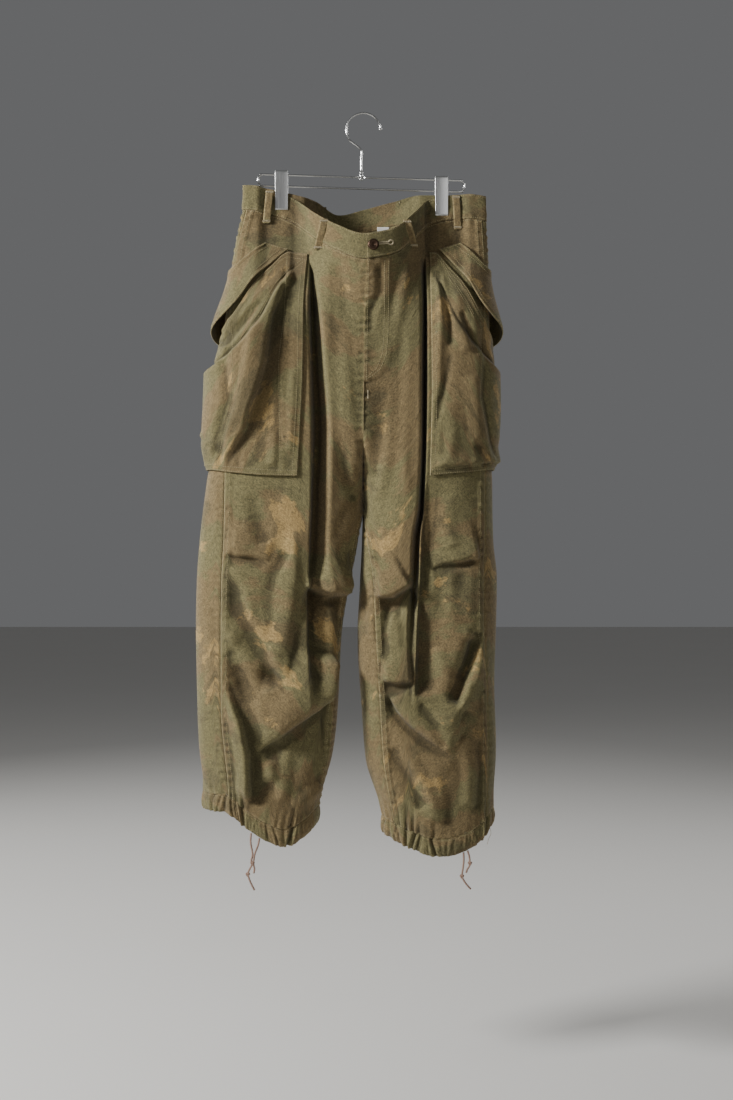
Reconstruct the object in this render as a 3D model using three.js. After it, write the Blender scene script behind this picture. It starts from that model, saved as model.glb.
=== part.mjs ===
// Cargo pants hung from a clip hanger. Millimetres, +Z up, the front faces -Y.
// The origin is the inside top of the hanger's hook. Sides are the wearer's own.
import * as THREE from "three";
import { mergeVertices } from "three/addons/utils/BufferGeometryUtils.js";

// Cloth and seam sizes
const CLOTH = 1.6;
const SEAM_HALF = 0.16;
const SEAM_STEP = 0.3;
const HEM_STEP = 0.5;
const SEWN_LIFT = 1.6;
const FLAP_LIFT = 2.0;

// Heights that rule the cloth: waist seam, end of its drape, top of hem casing
const WAIST_Z = -165;
const WAIST_FADE = 190;
const CASING_Z = -1092;
const HEM_FADE = 170;
const CASING_TALL = 27;
const SEAM_CALM = 0.22;
const FORK_TOP = -480;
const FORK_Z = -611;
const BAND_TALL = 38;

// Grid steps of a leg: centre panel, pleat, outer panel, back, and rows down the leg
const CENTRE_STEPS = 6;
const PLEAT_STEPS = 5;
const OUTER_STEPS = 7;
const BACK_STEPS = 11;
const DRAPE_ROWS = 11;
const LEG_ROWS = 19;

// Waist line across the body, x from the wearer's right to left: top edge height and depth
const WAIST = {
  x: [-190, -166, -148, -107, -95, -75, -40, 0, 45, 80, 90, 101, 144, 164, 192],
  frontTop: [-111, -113, -117, -132, -142, -160, -183, -198, -189, -157, -145, -134, -126, -126, -129],
  frontDepth: [7, 9, 1.9, 1.9, 12, 32, 56, 66, 56, 28, 14, 1.9, 1.9, 9, 7],
  backTop: [-111, -113, -116, -125, -128, -132, -149, -139, -129, -125, -126, -126, -127, -126, -129],
  backDepth: [7, 9, 1.9, 1.9, 1.9, 17, 39, 46, 37, 10, 1.9, 1.9, 1.9, 9, 7],
};

// Sections down the wearer's right leg. Outer and inner are the outline, lip and edge the
// two sides of the open pleat, recess its depth, front and back the depth of the tube,
// square the roundness of the section.
const RIGHT = {
  z: [-165, -226, -300, -400, -500, -611, -660, -722, -800, -908, -1000, -1092],
  outer: [-187, -200, -211, -220, -230, -249, -254, -257, -258, -257, -255, -248],
  outseam: [-181, -195, -203, -207, -210, -212, -213, -216, -217, -217, -212, -205],
  lip: [-82, -83, -83, -81, -79, -80, -82, -83, -85, -84, -90, -112],
  edge: [-70, -71, -64, -56, -49, -50, -54, -60, -66, -72, -78, -100],
  seam: [5, 4, 2, 1, 0, -0.6, -10, -21, -36, -48, -58, -76],
  inner: [5, 4, 2, 1, 0, -0.6, -5.5, -20, -33, -42, -54, -76],
  front: [60, 60, 60, 60, 58, 56, 56, 57, 58, 57, 54, 48],
  back: [46, 46, 48, 50, 50, 50, 50, 48, 46, 44, 44, 42],
  recess: [0, 12, 26, 32, 34, 30, 26, 22, 16, 8, 0, 0],
  square: [6, 4.5, 3.4, 3, 2.8, 2.7, 2.6, 2.5, 2.4, 2.3, 2.2, 2.1],
};

// Sections down the wearer's left leg
const LEFT = {
  z: RIGHT.z,
  outer: [190, 193, 194, 195, 196, 200, 200, 205, 205, 203, 204, 201],
  outseam: [184, 186, 185, 185, 185, 185, 185, 183, 184, 189, 190, 188],
  lip: [95, 96, 97, 97, 96, 92, 87, 85, 80, 78, 78, 78],
  edge: [86, 87, 88, 87, 87, 82, 73, 70, 65, 68, 68, 68],
  seam: [5, 4, 2, 1, 0, 0.6, 6, 15, 19, 26, 34, 47],
  inner: [5, 4, 2, 1, 0, 0.6, -2.5, -7.5, -10, -4, 6, 28],
  front: [60, 60, 60, 60, 58, 56, 56, 57, 58, 57, 54, 48],
  back: [46, 46, 48, 50, 50, 50, 50, 48, 46, 44, 44, 42],
  recess: [0, 14, 28, 34, 36, 34, 28, 22, 12, 4, 0, 0],
  square: RIGHT.square,
};

// Lower edge of each hem across the leg, seen from the front and at the back
const HEM_RIGHT = {
  x: [-250, -213, -177, -140, -123, -95, -76],
  front: [-1075, -1076, -1100, -1122, -1128, -1119, -1106],
  back: [-1075, -1082, -1090, -1097, -1100, -1104, -1106],
};
const HEM_LEFT = {
  x: [28, 57, 86, 111, 133, 153, 173, 201],
  front: [-1112, -1125, -1136, -1142, -1141, -1135, -1126, -1100],
  back: [-1112, -1113, -1113, -1112, -1110, -1108, -1105, -1100],
};

// Folds in the front of each leg. A fold runs along its points (x, z) and rises outward;
// soft and crisp are the widths of its two flanks, left and right of the way it runs.
// Its rise goes from start to end strength.
const FOLDS = {
  right: [
    { rise: 8, soft: 60, crisp: 7, start: 1, end: 0.1, path: [[-212, -672], [-165, -682], [-135, -690]] },
    { rise: 6, soft: 50, crisp: 7, start: 1, end: 0.1, path: [[-215, -806], [-180, -812], [-150, -824]] },
    { rise: 11, soft: 12, crisp: 60, start: 1, end: 0.1, path: [[-22, -742], [-55, -736], [-88, -728]] },
    { rise: 15, soft: 12, crisp: 85, start: 1, end: 0.2,
      path: [[-42, -868], [-60, -888], [-100, -918], [-150, -958]] },
    { rise: -10, soft: 26, crisp: 26, start: 0.4, end: 0.8,
      path: [[-200, -690], [-165, -800], [-130, -878]] },
    { rise: 9, soft: 18, crisp: 34, start: 0.5, end: 1, path: [[-185, -890], [-160, -960], [-142, -1030]] },
    { rise: 8, soft: 20, crisp: 26, start: 0.3, end: 0.7,
      path: [[-110, -1066], [-85, -1056], [-62, -1040]] },
  ],
  left: [
    { rise: 8, soft: 7, crisp: 60, start: 1, end: 0.1, path: [[176, -684], [140, -690], [106, -700]] },
    { rise: 7, soft: 7, crisp: 45, start: 1, end: 0.2, path: [[184, -808], [172, -830], [158, -862]] },
    { rise: 12, soft: 60, crisp: 10, start: 1, end: 0.3, path: [[12, -740], [40, -738], [70, -722]] },
    { rise: 10, soft: 50, crisp: 10, start: 1, end: 0.3, path: [[24, -868], [48, -872], [72, -868]] },
    { rise: -12, soft: 24, crisp: 20, start: 0.8, end: 0.6, path: [[178, -812], [160, -860], [140, -905]] },
    { rise: 13, soft: 50, crisp: 12, start: 0.6, end: 0.4, path: [[44, -902], [80, -932], [124, -966]] },
    { rise: 9, soft: 16, crisp: 36, start: 0.5, end: 0.5, path: [[152, -872], [138, -916], [126, -950]] },
    { rise: -7, soft: 20, crisp: 20, start: 0.4, end: 0.8, path: [[40, -975], [70, -1030], [92, -1070]] },
  ],
};

// Slanted mouth of a cargo pocket, as distance round from the outline (front is minus)
const POCKET = {
  mouthAround: [-118, -90, -73, -56, -36, -18, 0, 40, 96],
  mouthZ: [-224, -250, -279, -322, -354, -376, -396, -408, -412],
  frontZ: [-570, -498, -418, -324, -224],
  bottomAround: [-145, -100, -40, 0, 96],
  bottomZ: [-564, -563, -558, -553, -552],
  rear: 96,
  columns: 13,
  rows: 13,
};
const POCKET_SIDES = {
  right: { frontAround: [-142, -134, -130, -123, -112], bulge: 17 },
  left: { frontAround: [-99, -94, -92, -92, -91], bulge: 10 },
};

// Flap over the pocket mouth: its sewn edge and its free edge, in degrees round from the
// outline (front is minus) and height, and the slack of the free edge
const FLAP = {
  sewnTurn: [-57, -50, -38, -18, 20, 42],
  sewnZ: [-202, -210, -224, -242, -252, -262],
  freeTurn: [-79, -67, -52, -34, 0, 45],
  freeZ: [-212, -234, -262, -304, -344, -374],
  slack: [0, 2, 5, 9, 15, 7],
  columns: 11,
  rows: 3,
};

// Hem gathers
const GATHERS = 18;
const GATHER_RISE = 2.2;
const GATHER_COLUMNS = 72;

// Hanger
const HOOK_RADIUS = 26.4;
const HOOK_WIRE = 1.6;
const FRAME_WIRE = 1.5;
const FRAME = { x: -3.5, z: -107, half: 160, spacing: 17.5, tilt: -0.0315 };
const FERRULE = { radius: 2.9, tall: 13 };
const FERRULE_Z = FRAME.z + FRAME.spacing / 2 + 2;
const CLIP = { wide: 20, tall: 62, inner: 2.4, sheet: 1.5 };
const CLIPS = [{ name: "clip_right", x: -127, top: -87 }, { name: "clip_left", x: 121, top: -96 }];

// Fastening and trim
const UNDERLAP_END = 46;
const OVERLAP_LIFT = 2.3;
const LOOP_WIDE = 11.5;
const LOOP_THICK = 1.4;
const LOOP_ARCH = 2.2;
const LOOP_HIGH = 1;
const LOOP_LOW = 54;
const BUTTON = { x: 15, drop: 18, radius: 8.5, hole: 2.6, thick: 3.4 };
const LABEL = { x: 31, wide: 19, tall: 26, top: -168 };
const CORD_RADIUS = 1.4;
const KNOT_RADIUS = 3.6;

const COLOUR = { cloth: 0x6b6546, cord: 0x8a6f60, steel: 0xc4c4c2, copper: 0x9c6a4a, label: 0xe8e6e0 };

// Smooth curve through a table that never overshoots it
function along(xs, ys, x) {
  const last = xs.length - 1;
  const up = xs[last] > xs[0] ? 1 : -1;
  let i = 0;
  while (i < last - 1 && (x - xs[i + 1]) * up > 0) i++;
  const slope = (k) => (ys[k + 1] - ys[k]) / (xs[k + 1] - xs[k]);
  const tangent = (k) => {
    if (k === 0) return slope(0);
    if (k === last) return slope(last - 1);
    const [a, b] = [slope(k - 1), slope(k)];
    return a * b <= 0 ? 0 : (2 * a * b) / (a + b);
  };
  const wide = xs[i + 1] - xs[i];
  const t = Math.min(1, Math.max(0, (x - xs[i]) / wide));
  const [a, b] = [tangent(i) * wide, tangent(i + 1) * wide];
  const rest = 1 - t;
  return ys[i] * (1 + 2 * t) * rest * rest + a * t * rest * rest
    + ys[i + 1] * t * t * (3 - 2 * t) - b * t * t * rest;
}

const smooth = (t) => {
  const c = Math.min(1, Math.max(0, t));
  return c * c * (3 - 2 * c);
};
const mix = (a, b, t) => a + (b - a) * t;
const power = (v, p) => Math.sign(v) * Math.abs(v) ** p;
const spread = (n, f) => Array.from({ length: n + 1 }, (_, i) => f(i / n));

// Signed distance from a fold's line, left of its run positive, and how far along it
function nearLine(path, x, z) {
  let best = { far: Infinity, side: 1, run: 0 };
  for (let k = 0; k < path.length - 1; k++) {
    const [ax, az] = path[k];
    const [dx, dz] = [path[k + 1][0] - ax, path[k + 1][1] - az];
    const raw = ((x - ax) * dx + (z - az) * dz) / (dx * dx + dz * dz);
    const t = Math.min(1, Math.max(0, raw));
    const far = Math.hypot(x - ax - t * dx, z - az - t * dz);
    if (far < best.far) {
      const side = dx * (z - az) - dz * (x - ax) >= 0 ? 1 : -1;
      best = { far, side, run: (k + t) / (path.length - 1) };
    }
  }
  return best;
}

function foldRise(leg, x, z) {
  let rise = 0;
  for (const fold of FOLDS[leg]) {
    const { far, side, run } = nearLine(fold.path, x, z);
    const flank = side > 0 ? fold.soft : fold.crisp;
    if (far < flank) rise += fold.rise * (1 - smooth(far / flank)) * mix(fold.start, fold.end, run);
  }
  return rise;
}

// One leg as a surface. Angle runs from the front panel's side round the outline to the back:
// 0 at the outer outline, minus to the front, plus to the back.
function makeLeg(name, table, hem) {
  const side = name === "right" ? -1 : 1;
  const read = (column, z) => along(table.z, table[column], z);

  function level(z) {
    const outer = read("outer", z);
    const inner = read("inner", z);
    const joined = smooth((z - FORK_Z) / (FORK_TOP - FORK_Z));
    return { z, outer, inner, joined, middle: (outer + inner) / 2, half: Math.abs(outer - inner) / 2,
      front: read("front", z), back: read("back", z), power: read("square", z) };
  }

  const angleOf = (row, x) => Math.acos(Math.min(1, Math.max(-1, ((x - row.middle) / row.half) * side)));

  // Drop of a level where the waist seam and the hem are not level
  function drop(x, z, isFront) {
    const band = along(WAIST.x, isFront ? WAIST.frontTop : WAIST.backTop, x) - BAND_TALL;
    const hemZ = along(hem.x, isFront ? hem.front : hem.back, x) + CASING_TALL;
    return (band - WAIST_Z) * smooth((z - WAIST_Z + WAIST_FADE) / WAIST_FADE)
      + (hemZ - CASING_Z) * smooth((CASING_Z + HEM_FADE - z) / HEM_FADE);
  }

  // Point and outward direction at an angle on a level, before folds
  function base(row, angle) {
    const s = Math.cos(angle);
    const isFront = Math.sin(angle) < 0;
    const round = (1 - Math.abs(s) ** row.power) ** (1 / row.power);
    const inward = s < 0 ? row.joined : 0;
    const tall = mix(round, 1, inward);
    const x = row.middle + row.half * s * side;
    const waist = along(WAIST.x, isFront ? WAIST.frontDepth : WAIST.backDepth, x);
    const near = smooth((row.z - WAIST_Z + WAIST_FADE) / WAIST_FADE);
    const depth = mix(isFront ? row.front : row.back, waist, near);
    const face = isFront ? -1 : 1;
    const nx = side * power(s, row.power - 1) / row.half * (1 - inward);
    const ny = face * round ** (row.power - 1) / Math.max(depth, 8) + face * inward * 0.01;
    const size = Math.hypot(nx, ny);
    const z = row.z + drop(x, row.z, isFront);
    return { x, y: face * depth * tall, z, nx: nx / size, ny: ny / size, isFront };
  }

  // Surface with its pleat and folds, which end at the front panel's seams
  function surface(row, angle) {
    const p = base(row, angle);
    if (!p.isFront) return p;
    const turns = [read("seam", row.z), read("outseam", row.z)].map((x) => angleOf(row, x));
    const toSeam = row.joined > 0.99 ? SEAM_CALM : turns[0] + angle;
    const calm = Math.min(toSeam, -angle - turns[1]) / SEAM_CALM;
    const weight = smooth(calm);
    const [lip, edge] = [read("lip", row.z), read("edge", row.z)];
    const q = (p.x - lip) / (edge - lip);
    const pleat = q > 0 && q < 1 ? -read("recess", row.z) * Math.sin(Math.PI * q) ** 1.3 : 0;
    const rise = (foldRise(name, p.x, p.z) + pleat) * weight;
    return { ...p, x: p.x + p.nx * rise, y: p.y + p.ny * rise };
  }

  // The level whose cloth lies at a true height at this x
  function levelAt(x, height, isFront) {
    let z = height;
    for (let k = 0; k < 6; k++) z = height - drop(x, z, isFront);
    return level(z);
  }

  // Angle at a distance in from the outline (front minus), and that distance at an angle
  const turnAt = (way, row) => Math.sign(way) * Math.acos(Math.max(-1, 1 - Math.abs(way) / row.half));
  const wayAt = (turn, row) => Math.sign(turn) * row.half * (1 - Math.cos(turn));

  // Point at an angle round from the outline (front minus) at a true height
  function around(turn, height) {
    let row = level(height);
    for (let k = 0; k < 4; k++) {
      row = levelAt(row.middle + side * row.half * Math.cos(turn), height, turn < 0);
    }
    return surface(row, turn);
  }

  // Point at x on the front or back at a true height
  function atX(x, isFront, height) {
    const row = levelAt(x, height, isFront);
    return surface(row, (isFront ? -1 : 1) * angleOf(row, x));
  }
  return { name, side, read, level, base, surface, angleOf, turnAt, wayAt, around, atX };
}

// Row heights of a leg, closer at its knee tucks
function rowHeights(name) {
  const drapeEnd = WAIST_Z - WAIST_FADE;
  const even = [...spread(DRAPE_ROWS, (t) => mix(WAIST_Z, drapeEnd, t)),
    ...spread(LEG_ROWS, (t) => mix(drapeEnd, CASING_Z, t)).slice(1)];
  const tucks = FOLDS[name].filter((fold) => Math.min(fold.soft, fold.crisp) < 13)
    .map((fold) => fold.path[0][1]).flatMap((z) => [z + 4, z - 5]);
  return tucks.concat(even).filter((z, i, all) => all.findIndex((w) => Math.abs(w - z) < 7) === i)
    .sort((a, b) => b - a);
}

const unit = (x, y, z) => new THREE.Vector3(x, y, z).normalize();

// Outward directions of a grid of points from its neighbours
function gridNormals(points) {
  const within = (k, count) => Math.min(count - 1, Math.max(0, k));
  const at = (i, j) => points[within(i, points.length)][within(j, points[0].length)];
  return points.map((row, i) => row.map((p, j) => {
    const across = at(i, j + 1).clone().sub(at(i, j - 1));
    const down = at(i + 1, j).clone().sub(at(i - 1, j));
    return across.cross(down).normalize();
  }));
}

// A closed wall: a grid of outer points and the same grid moved inward by the thickness
function wallGeometry(points, normals, thick, loops = false) {
  const rows = points.length;
  const columns = points[0].length;
  const inner = points.map((row, i) => row.map((p, j) => p.clone().addScaledVector(normals[i][j], -thick)));
  const list = [...points.flat(), ...inner.flat()];
  const faces = [];
  const outerAt = (i, j) => i * columns + (j % columns);
  const innerAt = (i, j) => rows * columns + outerAt(i, j);
  const quad = (a, b, c, d) => faces.push(a, b, c, a, c, d);
  const across = loops ? columns : columns - 1;
  for (let i = 0; i < rows - 1; i++) {
    for (let j = 0; j < across; j++) {
      quad(outerAt(i, j), outerAt(i, j + 1), outerAt(i + 1, j + 1), outerAt(i + 1, j));
      quad(innerAt(i, j), innerAt(i + 1, j), innerAt(i + 1, j + 1), innerAt(i, j + 1));
    }
    if (!loops) {
      quad(outerAt(i, 0), outerAt(i + 1, 0), innerAt(i + 1, 0), innerAt(i, 0));
      quad(outerAt(i, across), innerAt(i, across), innerAt(i + 1, across), outerAt(i + 1, across));
    }
  }
  for (let j = 0; j < across; j++) {
    quad(outerAt(0, j), innerAt(0, j), innerAt(0, j + 1), outerAt(0, j + 1));
    const end = rows - 1;
    quad(outerAt(end, j), outerAt(end, j + 1), innerAt(end, j + 1), innerAt(end, j));
  }
  return solidGeometry(list, faces);
}

// Geometry from corner points and faces, turned so that its faces point out
function solidGeometry(list, faces) {
  let volume = 0;
  for (let k = 0; k < faces.length; k += 3) {
    const [a, b, c] = [list[faces[k]], list[faces[k + 1]], list[faces[k + 2]]];
    volume += a.dot(b.clone().cross(c));
  }
  const ordered = volume > 0 ? faces : faces.toReversed();
  const geometry = new THREE.BufferGeometry();
  const numbers = list.flatMap((p) => [p.x, p.y, p.z]);
  geometry.setAttribute("position", new THREE.Float32BufferAttribute(numbers, 3));
  geometry.setIndex(ordered);
  return geometry;
}

// Pull a row's two end points in from the seams they share
function trimSeams(row, gap) {
  const last = row.length - 1;
  const pull = (end, next) => {
    const way = row[next].clone().sub(row[end]);
    row[end].addScaledVector(way.normalize(), gap);
  };
  pull(0, 1);
  pull(last, last - 1);
}

// Angles of the front panel's columns: centre panel, pleat, outer panel
function frontAngles(leg, row) {
  const x = { seam: leg.read("seam", row.z), edge: leg.read("edge", row.z), lip: leg.read("lip", row.z) };
  const outseam = leg.angleOf(row, leg.read("outseam", row.z));
  const [seam, edge, lip] = [leg.angleOf(row, x.seam), leg.angleOf(row, x.edge), leg.angleOf(row, x.lip)];
  const centre = spread(CENTRE_STEPS, (t) => mix(seam, edge, t));
  const pleat = spread(PLEAT_STEPS, (t) => leg.angleOf(row, mix(x.edge, x.lip, t))).slice(1);
  const outer = spread(OUTER_STEPS, (t) => mix(lip, outseam, t)).slice(1);
  return [...centre, ...pleat, ...outer].map((angle) => -angle);
}

function backAngles(leg, row) {
  const outseam = -leg.angleOf(row, leg.read("outseam", row.z));
  const end = 2 * Math.PI - leg.angleOf(row, leg.read("seam", row.z));
  return spread(BACK_STEPS, (t) => mix(outseam, row.joined > 0 ? Math.PI : end, t));
}

// A leg panel between its seams
function legPanel(leg, isFront) {
  const heights = rowHeights(leg.name);
  const points = [];
  const rims = [];
  const level = [];
  heights.forEach((z) => {
    const row = leg.level(z);
    const angles = isFront ? frontAngles(leg, row) : backAngles(leg, row);
    const last = angles.length - 1;
    const cells = angles.map((angle) => leg.surface(row, angle));
    points.push(cells.map((c) => new THREE.Vector3(c.x, c.y, c.z)));
    rims.push([cells[0], cells[last]].map((c) => seamNormal(leg, row, c)));
    level.push(cells.map((c) => unit(c.nx, c.ny, 0)));
  });
  points[0].forEach((p) => { p.z -= SEAM_STEP; });
  const normals = gridNormals(points);
  const outward = normals[12][4].y * (isFront ? -1 : 1) > 0 ? 1 : -1;
  normals.forEach((row, i) => {
    const ends = i === 0 || i === normals.length - 1;
    row.forEach((n, j) => (ends ? n.copy(level[i][j]) : n.multiplyScalar(outward)));
    row[0].copy(rims[i][0]);
    row[row.length - 1].copy(rims[i][1]);
  });
  points.forEach((row) => trimSeams(row, SEAM_HALF));
  return wallGeometry(points, normals, CLOTH);
}

// Direction at a seam, which both panels share; at the centre seams it points straight out
function seamNormal(leg, row, cell) {
  const atCentre = row.joined > 0 && Math.abs(cell.x - row.inner) < 0.01;
  if (!atCentre) return unit(cell.nx, cell.ny, 0);
  const face = cell.isFront ? -1 : 1;
  return unit(-leg.side * (1 - row.joined), face * row.joined, 0);
}

// Line round the leg where its panels end, evenly spaced, with directions out
function rimLine(leg, z, count) {
  const row = leg.level(z);
  const corners = [...frontAngles(leg, row), ...backAngles(leg, row).slice(1, -1)]
    .map((angle) => leg.base(row, angle));
  const at = (k) => corners[k % corners.length];
  const lengths = corners.map((p, k) => Math.hypot(at(k + 1).x - p.x, at(k + 1).y - p.y, at(k + 1).z - p.z));
  const total = lengths.reduce((a, b) => a + b, 0);
  let k = 0;
  let gone = 0;
  return spread(count, (t) => t).slice(0, -1).map((t) => {
    while (gone + lengths[k] < t * total) gone += lengths[k++];
    const share = (t * total - gone) / lengths[k];
    const [a, b] = [at(k), at(k + 1)];
    return { p: new THREE.Vector3(mix(a.x, b.x, share), mix(a.y, b.y, share), mix(a.z, b.z, share)),
      n: unit(mix(a.nx, b.nx, share), mix(a.ny, b.ny, share), 0) };
  });
}

// Hem casing: a gathered tube below a leg's panels
function casing(leg) {
  const line = rimLine(leg, CASING_Z, GATHER_COLUMNS);
  const points = [0, 0.5, 1].map((share) => line.map(({ p, n }, j) => {
    const turn = (j / GATHER_COLUMNS) * 2 * Math.PI;
    const wave = Math.sin(turn * GATHERS) * GATHER_RISE + Math.sin(turn * 7 + 1) * 0.8;
    const lift = share * wave - 1.5 * Math.sin(Math.PI * share);
    const down = HEM_STEP + share * (CASING_TALL - HEM_STEP);
    return p.clone().addScaledVector(n, lift).setZ(p.z - down);
  }));
  return wallGeometry(points, points.map(() => line.map(({ n }) => n)), CLOTH, true);
}

// A patch on a leg from a map of (across, down) to an angle round it, a height and a lift
function patch(leg, columns, rows, place) {
  const points = [];
  const normals = [];
  for (const down of spread(rows, (t) => t)) {
    const cells = spread(columns, (t) => t).map((across) => {
      const { turn, height, lift } = place(across, down);
      const p = leg.around(turn, height);
      const n = unit(p.nx, p.ny, 0);
      return { n, p: new THREE.Vector3(p.x, p.y, p.z).addScaledVector(n, lift + CLOTH) };
    });
    points.push(cells.map((c) => c.p));
    normals.push(cells.map((c) => c.n));
  }
  return wallGeometry(points, normals, CLOTH);
}

function pocket(leg) {
  const own = POCKET_SIDES[leg.name];
  const frontAt = (z) => along(POCKET.frontZ, own.frontAround, z);
  const turnOf = (across, z) => {
    const row = leg.level(z);
    return mix(leg.turnAt(frontAt(z), row), leg.turnAt(POCKET.rear, row), across);
  };
  return patch(leg, POCKET.columns, POCKET.rows, (across, down) => {
    const edge = (ways, heights, start) => {
      const row = leg.level(start);
      return along(ways, heights, leg.wayAt(turnOf(across, start), row));
    };
    const top = edge(POCKET.mouthAround, POCKET.mouthZ, mix(POCKET.mouthZ[0], POCKET.mouthZ.at(-1), across));
    const bottom = edge(POCKET.bottomAround, POCKET.bottomZ, POCKET.bottomZ[0]);
    const height = mix(top, bottom, down);
    const swell = Math.sin(Math.PI * across) ** 0.8 * Math.cos(Math.PI * 0.5 * down ** 2.2);
    return { turn: turnOf(across, height), height, lift: SEWN_LIFT + own.bulge * Math.max(0, swell) };
  });
}

function pocketFlap(leg) {
  const stations = FLAP.slack.map((_, i) => i / (FLAP.slack.length - 1));
  return patch(leg, FLAP.columns, FLAP.rows, (across, down) => {
    const read = (column) => along(stations, FLAP[column], across);
    const turn = THREE.MathUtils.degToRad(mix(read("sewnTurn"), read("freeTurn"), down));
    const height = mix(read("sewnZ"), read("freeZ"), down);
    return { turn, height, lift: FLAP_LIFT + read("slack") * smooth(down) };
  });
}

// Cloth at x on the front or back, a drop below the waistband's top edge
function clothAt(x, isFront, dropDown) {
  const leg = x < RIGHT.seam[0] ? RIGHT_LEG : LEFT_LEG;
  const row = leg.level(WAIST_Z);
  const seam = leg.base(row, (isFront ? -1 : 1) * leg.angleOf(row, x));
  const z = seam.z + BAND_TALL - dropDown;
  const p = z >= seam.z ? seam : leg.atX(x, isFront, z);
  return { p: new THREE.Vector3(p.x, p.y, z), n: unit(p.nx, p.ny, 0) };
}

// Waistband: one strip from under the front overlap, round the back, to the overlap's end,
// on the same columns as the panels' top edges
function waistband() {
  const [right, left] = [RIGHT_LEG, LEFT_LEG].map((leg) => {
    const row = leg.level(WAIST_Z);
    const place = (angle) => leg.base(row, angle);
    return { front: frontAngles(leg, row).map(place), back: backAngles(leg, row).map(place) };
  });
  const under = left.front.filter((p) => p.x > RIGHT.seam[0] + 1 && p.x < UNDERLAP_END).reverse();
  const body = [...right.front, ...right.back.slice(1), ...left.back.toReversed().slice(1)];
  const over = left.front.toReversed().slice(1);
  const liftAt = (x) => OVERLAP_LIFT * smooth((UNDERLAP_END + 24 - x) / 20);
  const line = [...under, ...body].map((p) => ({ p, lift: 0 }))
    .concat(over.map((p) => ({ p, lift: liftAt(p.x) })));
  const directions = line.map(({ p }) => unit(p.nx, p.ny, 0));
  const points = [0, 0.5, 1].map((share) => line.map(({ p, lift }, k) => (
    new THREE.Vector3(p.x, p.y, p.z + BAND_TALL * (1 - share)).addScaledVector(directions[k], lift))));
  return wallGeometry(points, points.map(() => directions), CLOTH);
}

// Belt loop: a strip over the waistband, sewn down at both ends
function beltLoop({ x, isFront, topX, lift }) {
  const rows = spread(5, (t) => t).map((t) => {
    const at = mix(topX, x, t);
    return [-LOOP_WIDE / 2, 0, LOOP_WIDE / 2].map((off) => {
      const { p, n } = clothAt(at + off, isFront, mix(LOOP_HIGH, LOOP_LOW, t));
      return { n, p: p.addScaledVector(n, lift + LOOP_THICK + LOOP_ARCH * Math.sin(Math.PI * t)) };
    });
  });
  return wallGeometry(rows.map((r) => r.map((c) => c.p)), rows.map((r) => r.map((c) => c.n)), LOOP_THICK);
}

// Round wire along a curve
function wire(curve, radius, steps, sides) {
  const shape = new THREE.Shape();
  shape.absarc(0, 0, radius, 0, 2 * Math.PI, false);
  return new THREE.ExtrudeGeometry(shape, { extrudePath: curve, steps, curveSegments: sides });
}

function hookCurve() {
  const centre = HOOK_WIRE - HOOK_RADIUS;
  const arc = spread(14, (t) => mix(0.06, 1.22 * Math.PI, t))
    .map((a) => new THREE.Vector3(Math.cos(a) * HOOK_RADIUS, 0, centre + Math.sin(a) * HOOK_RADIUS));
  const neck = [[-9, -50], [-3, -58], [FRAME.x, -72], [FRAME.x, FERRULE_Z + FERRULE.tall / 2 + SEAM_STEP]]
    .map(([x, z]) => new THREE.Vector3(x, 0, z));
  return new THREE.CatmullRomCurve3([...arc, ...neck]);
}

// Frame wire: from the ferrule round both rounded ends and back to the ferrule
function frameCurve() {
  const turn = FRAME.spacing / 2;
  const reach = FRAME.half - turn;
  const start = FERRULE.radius + 0.3;
  const local = [[start, turn], [reach * 0.5, turn], [reach, turn]];
  const bend = (middle, from) => spread(6, (t) => {
    const a = from + t * Math.PI;
    return [middle + Math.sin(a) * turn, Math.cos(a) * turn];
  });
  local.push(...bend(reach, 0).slice(1));
  local.push([reach * 0.5, -turn], [0, -turn], [-reach * 0.5, -turn], ...bend(-reach, Math.PI));
  local.push([-reach * 0.5, turn], [-start, turn]);
  const [c, s] = [Math.cos(FRAME.tilt), Math.sin(FRAME.tilt)];
  return new THREE.CatmullRomCurve3(local.map(([x, z]) => new THREE.Vector3(
    FRAME.x + x * c - z * s, 0, FRAME.z + x * s + z * c)), false, "catmullrom", 0.5);
}

// Spring clip: one sheet bent over the wires, its jaws on both faces of the waistband
function clipGeometry() {
  const shape = new THREE.Shape();
  const out = CLIP.inner + CLIP.sheet;
  const low = -(CLIP.tall - out);
  shape.moveTo(-out, low);
  shape.lineTo(-out, 0);
  shape.absarc(0, 0, out, Math.PI, 0, true);
  shape.lineTo(out, low);
  shape.lineTo(CLIP.inner, low);
  shape.lineTo(CLIP.inner, 0);
  shape.absarc(0, 0, CLIP.inner, 0, Math.PI, false);
  shape.lineTo(-CLIP.inner, low);
  shape.closePath();
  const options = { depth: CLIP.wide, bevelEnabled: false, curveSegments: 8 };
  const geometry = new THREE.ExtrudeGeometry(shape, options);
  geometry.rotateX(Math.PI / 2);
  geometry.rotateZ(Math.PI / 2);
  geometry.translate(-CLIP.wide / 2, 0, 0);
  return geometry;
}

// Donut button with a hollow centre
function buttonGeometry() {
  const { radius, hole, thick } = BUTTON;
  const profile = [[0, 0], [radius, 0], [radius, 1.6], [radius - 1.4, thick], [hole + 1.4, thick],
    [hole, thick - 1.4], [0, thick - 1.6]];
  const geometry = new THREE.LatheGeometry(profile.map(([r, h]) => new THREE.Vector2(r, h)), 20);
  return geometry;
}

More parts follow.
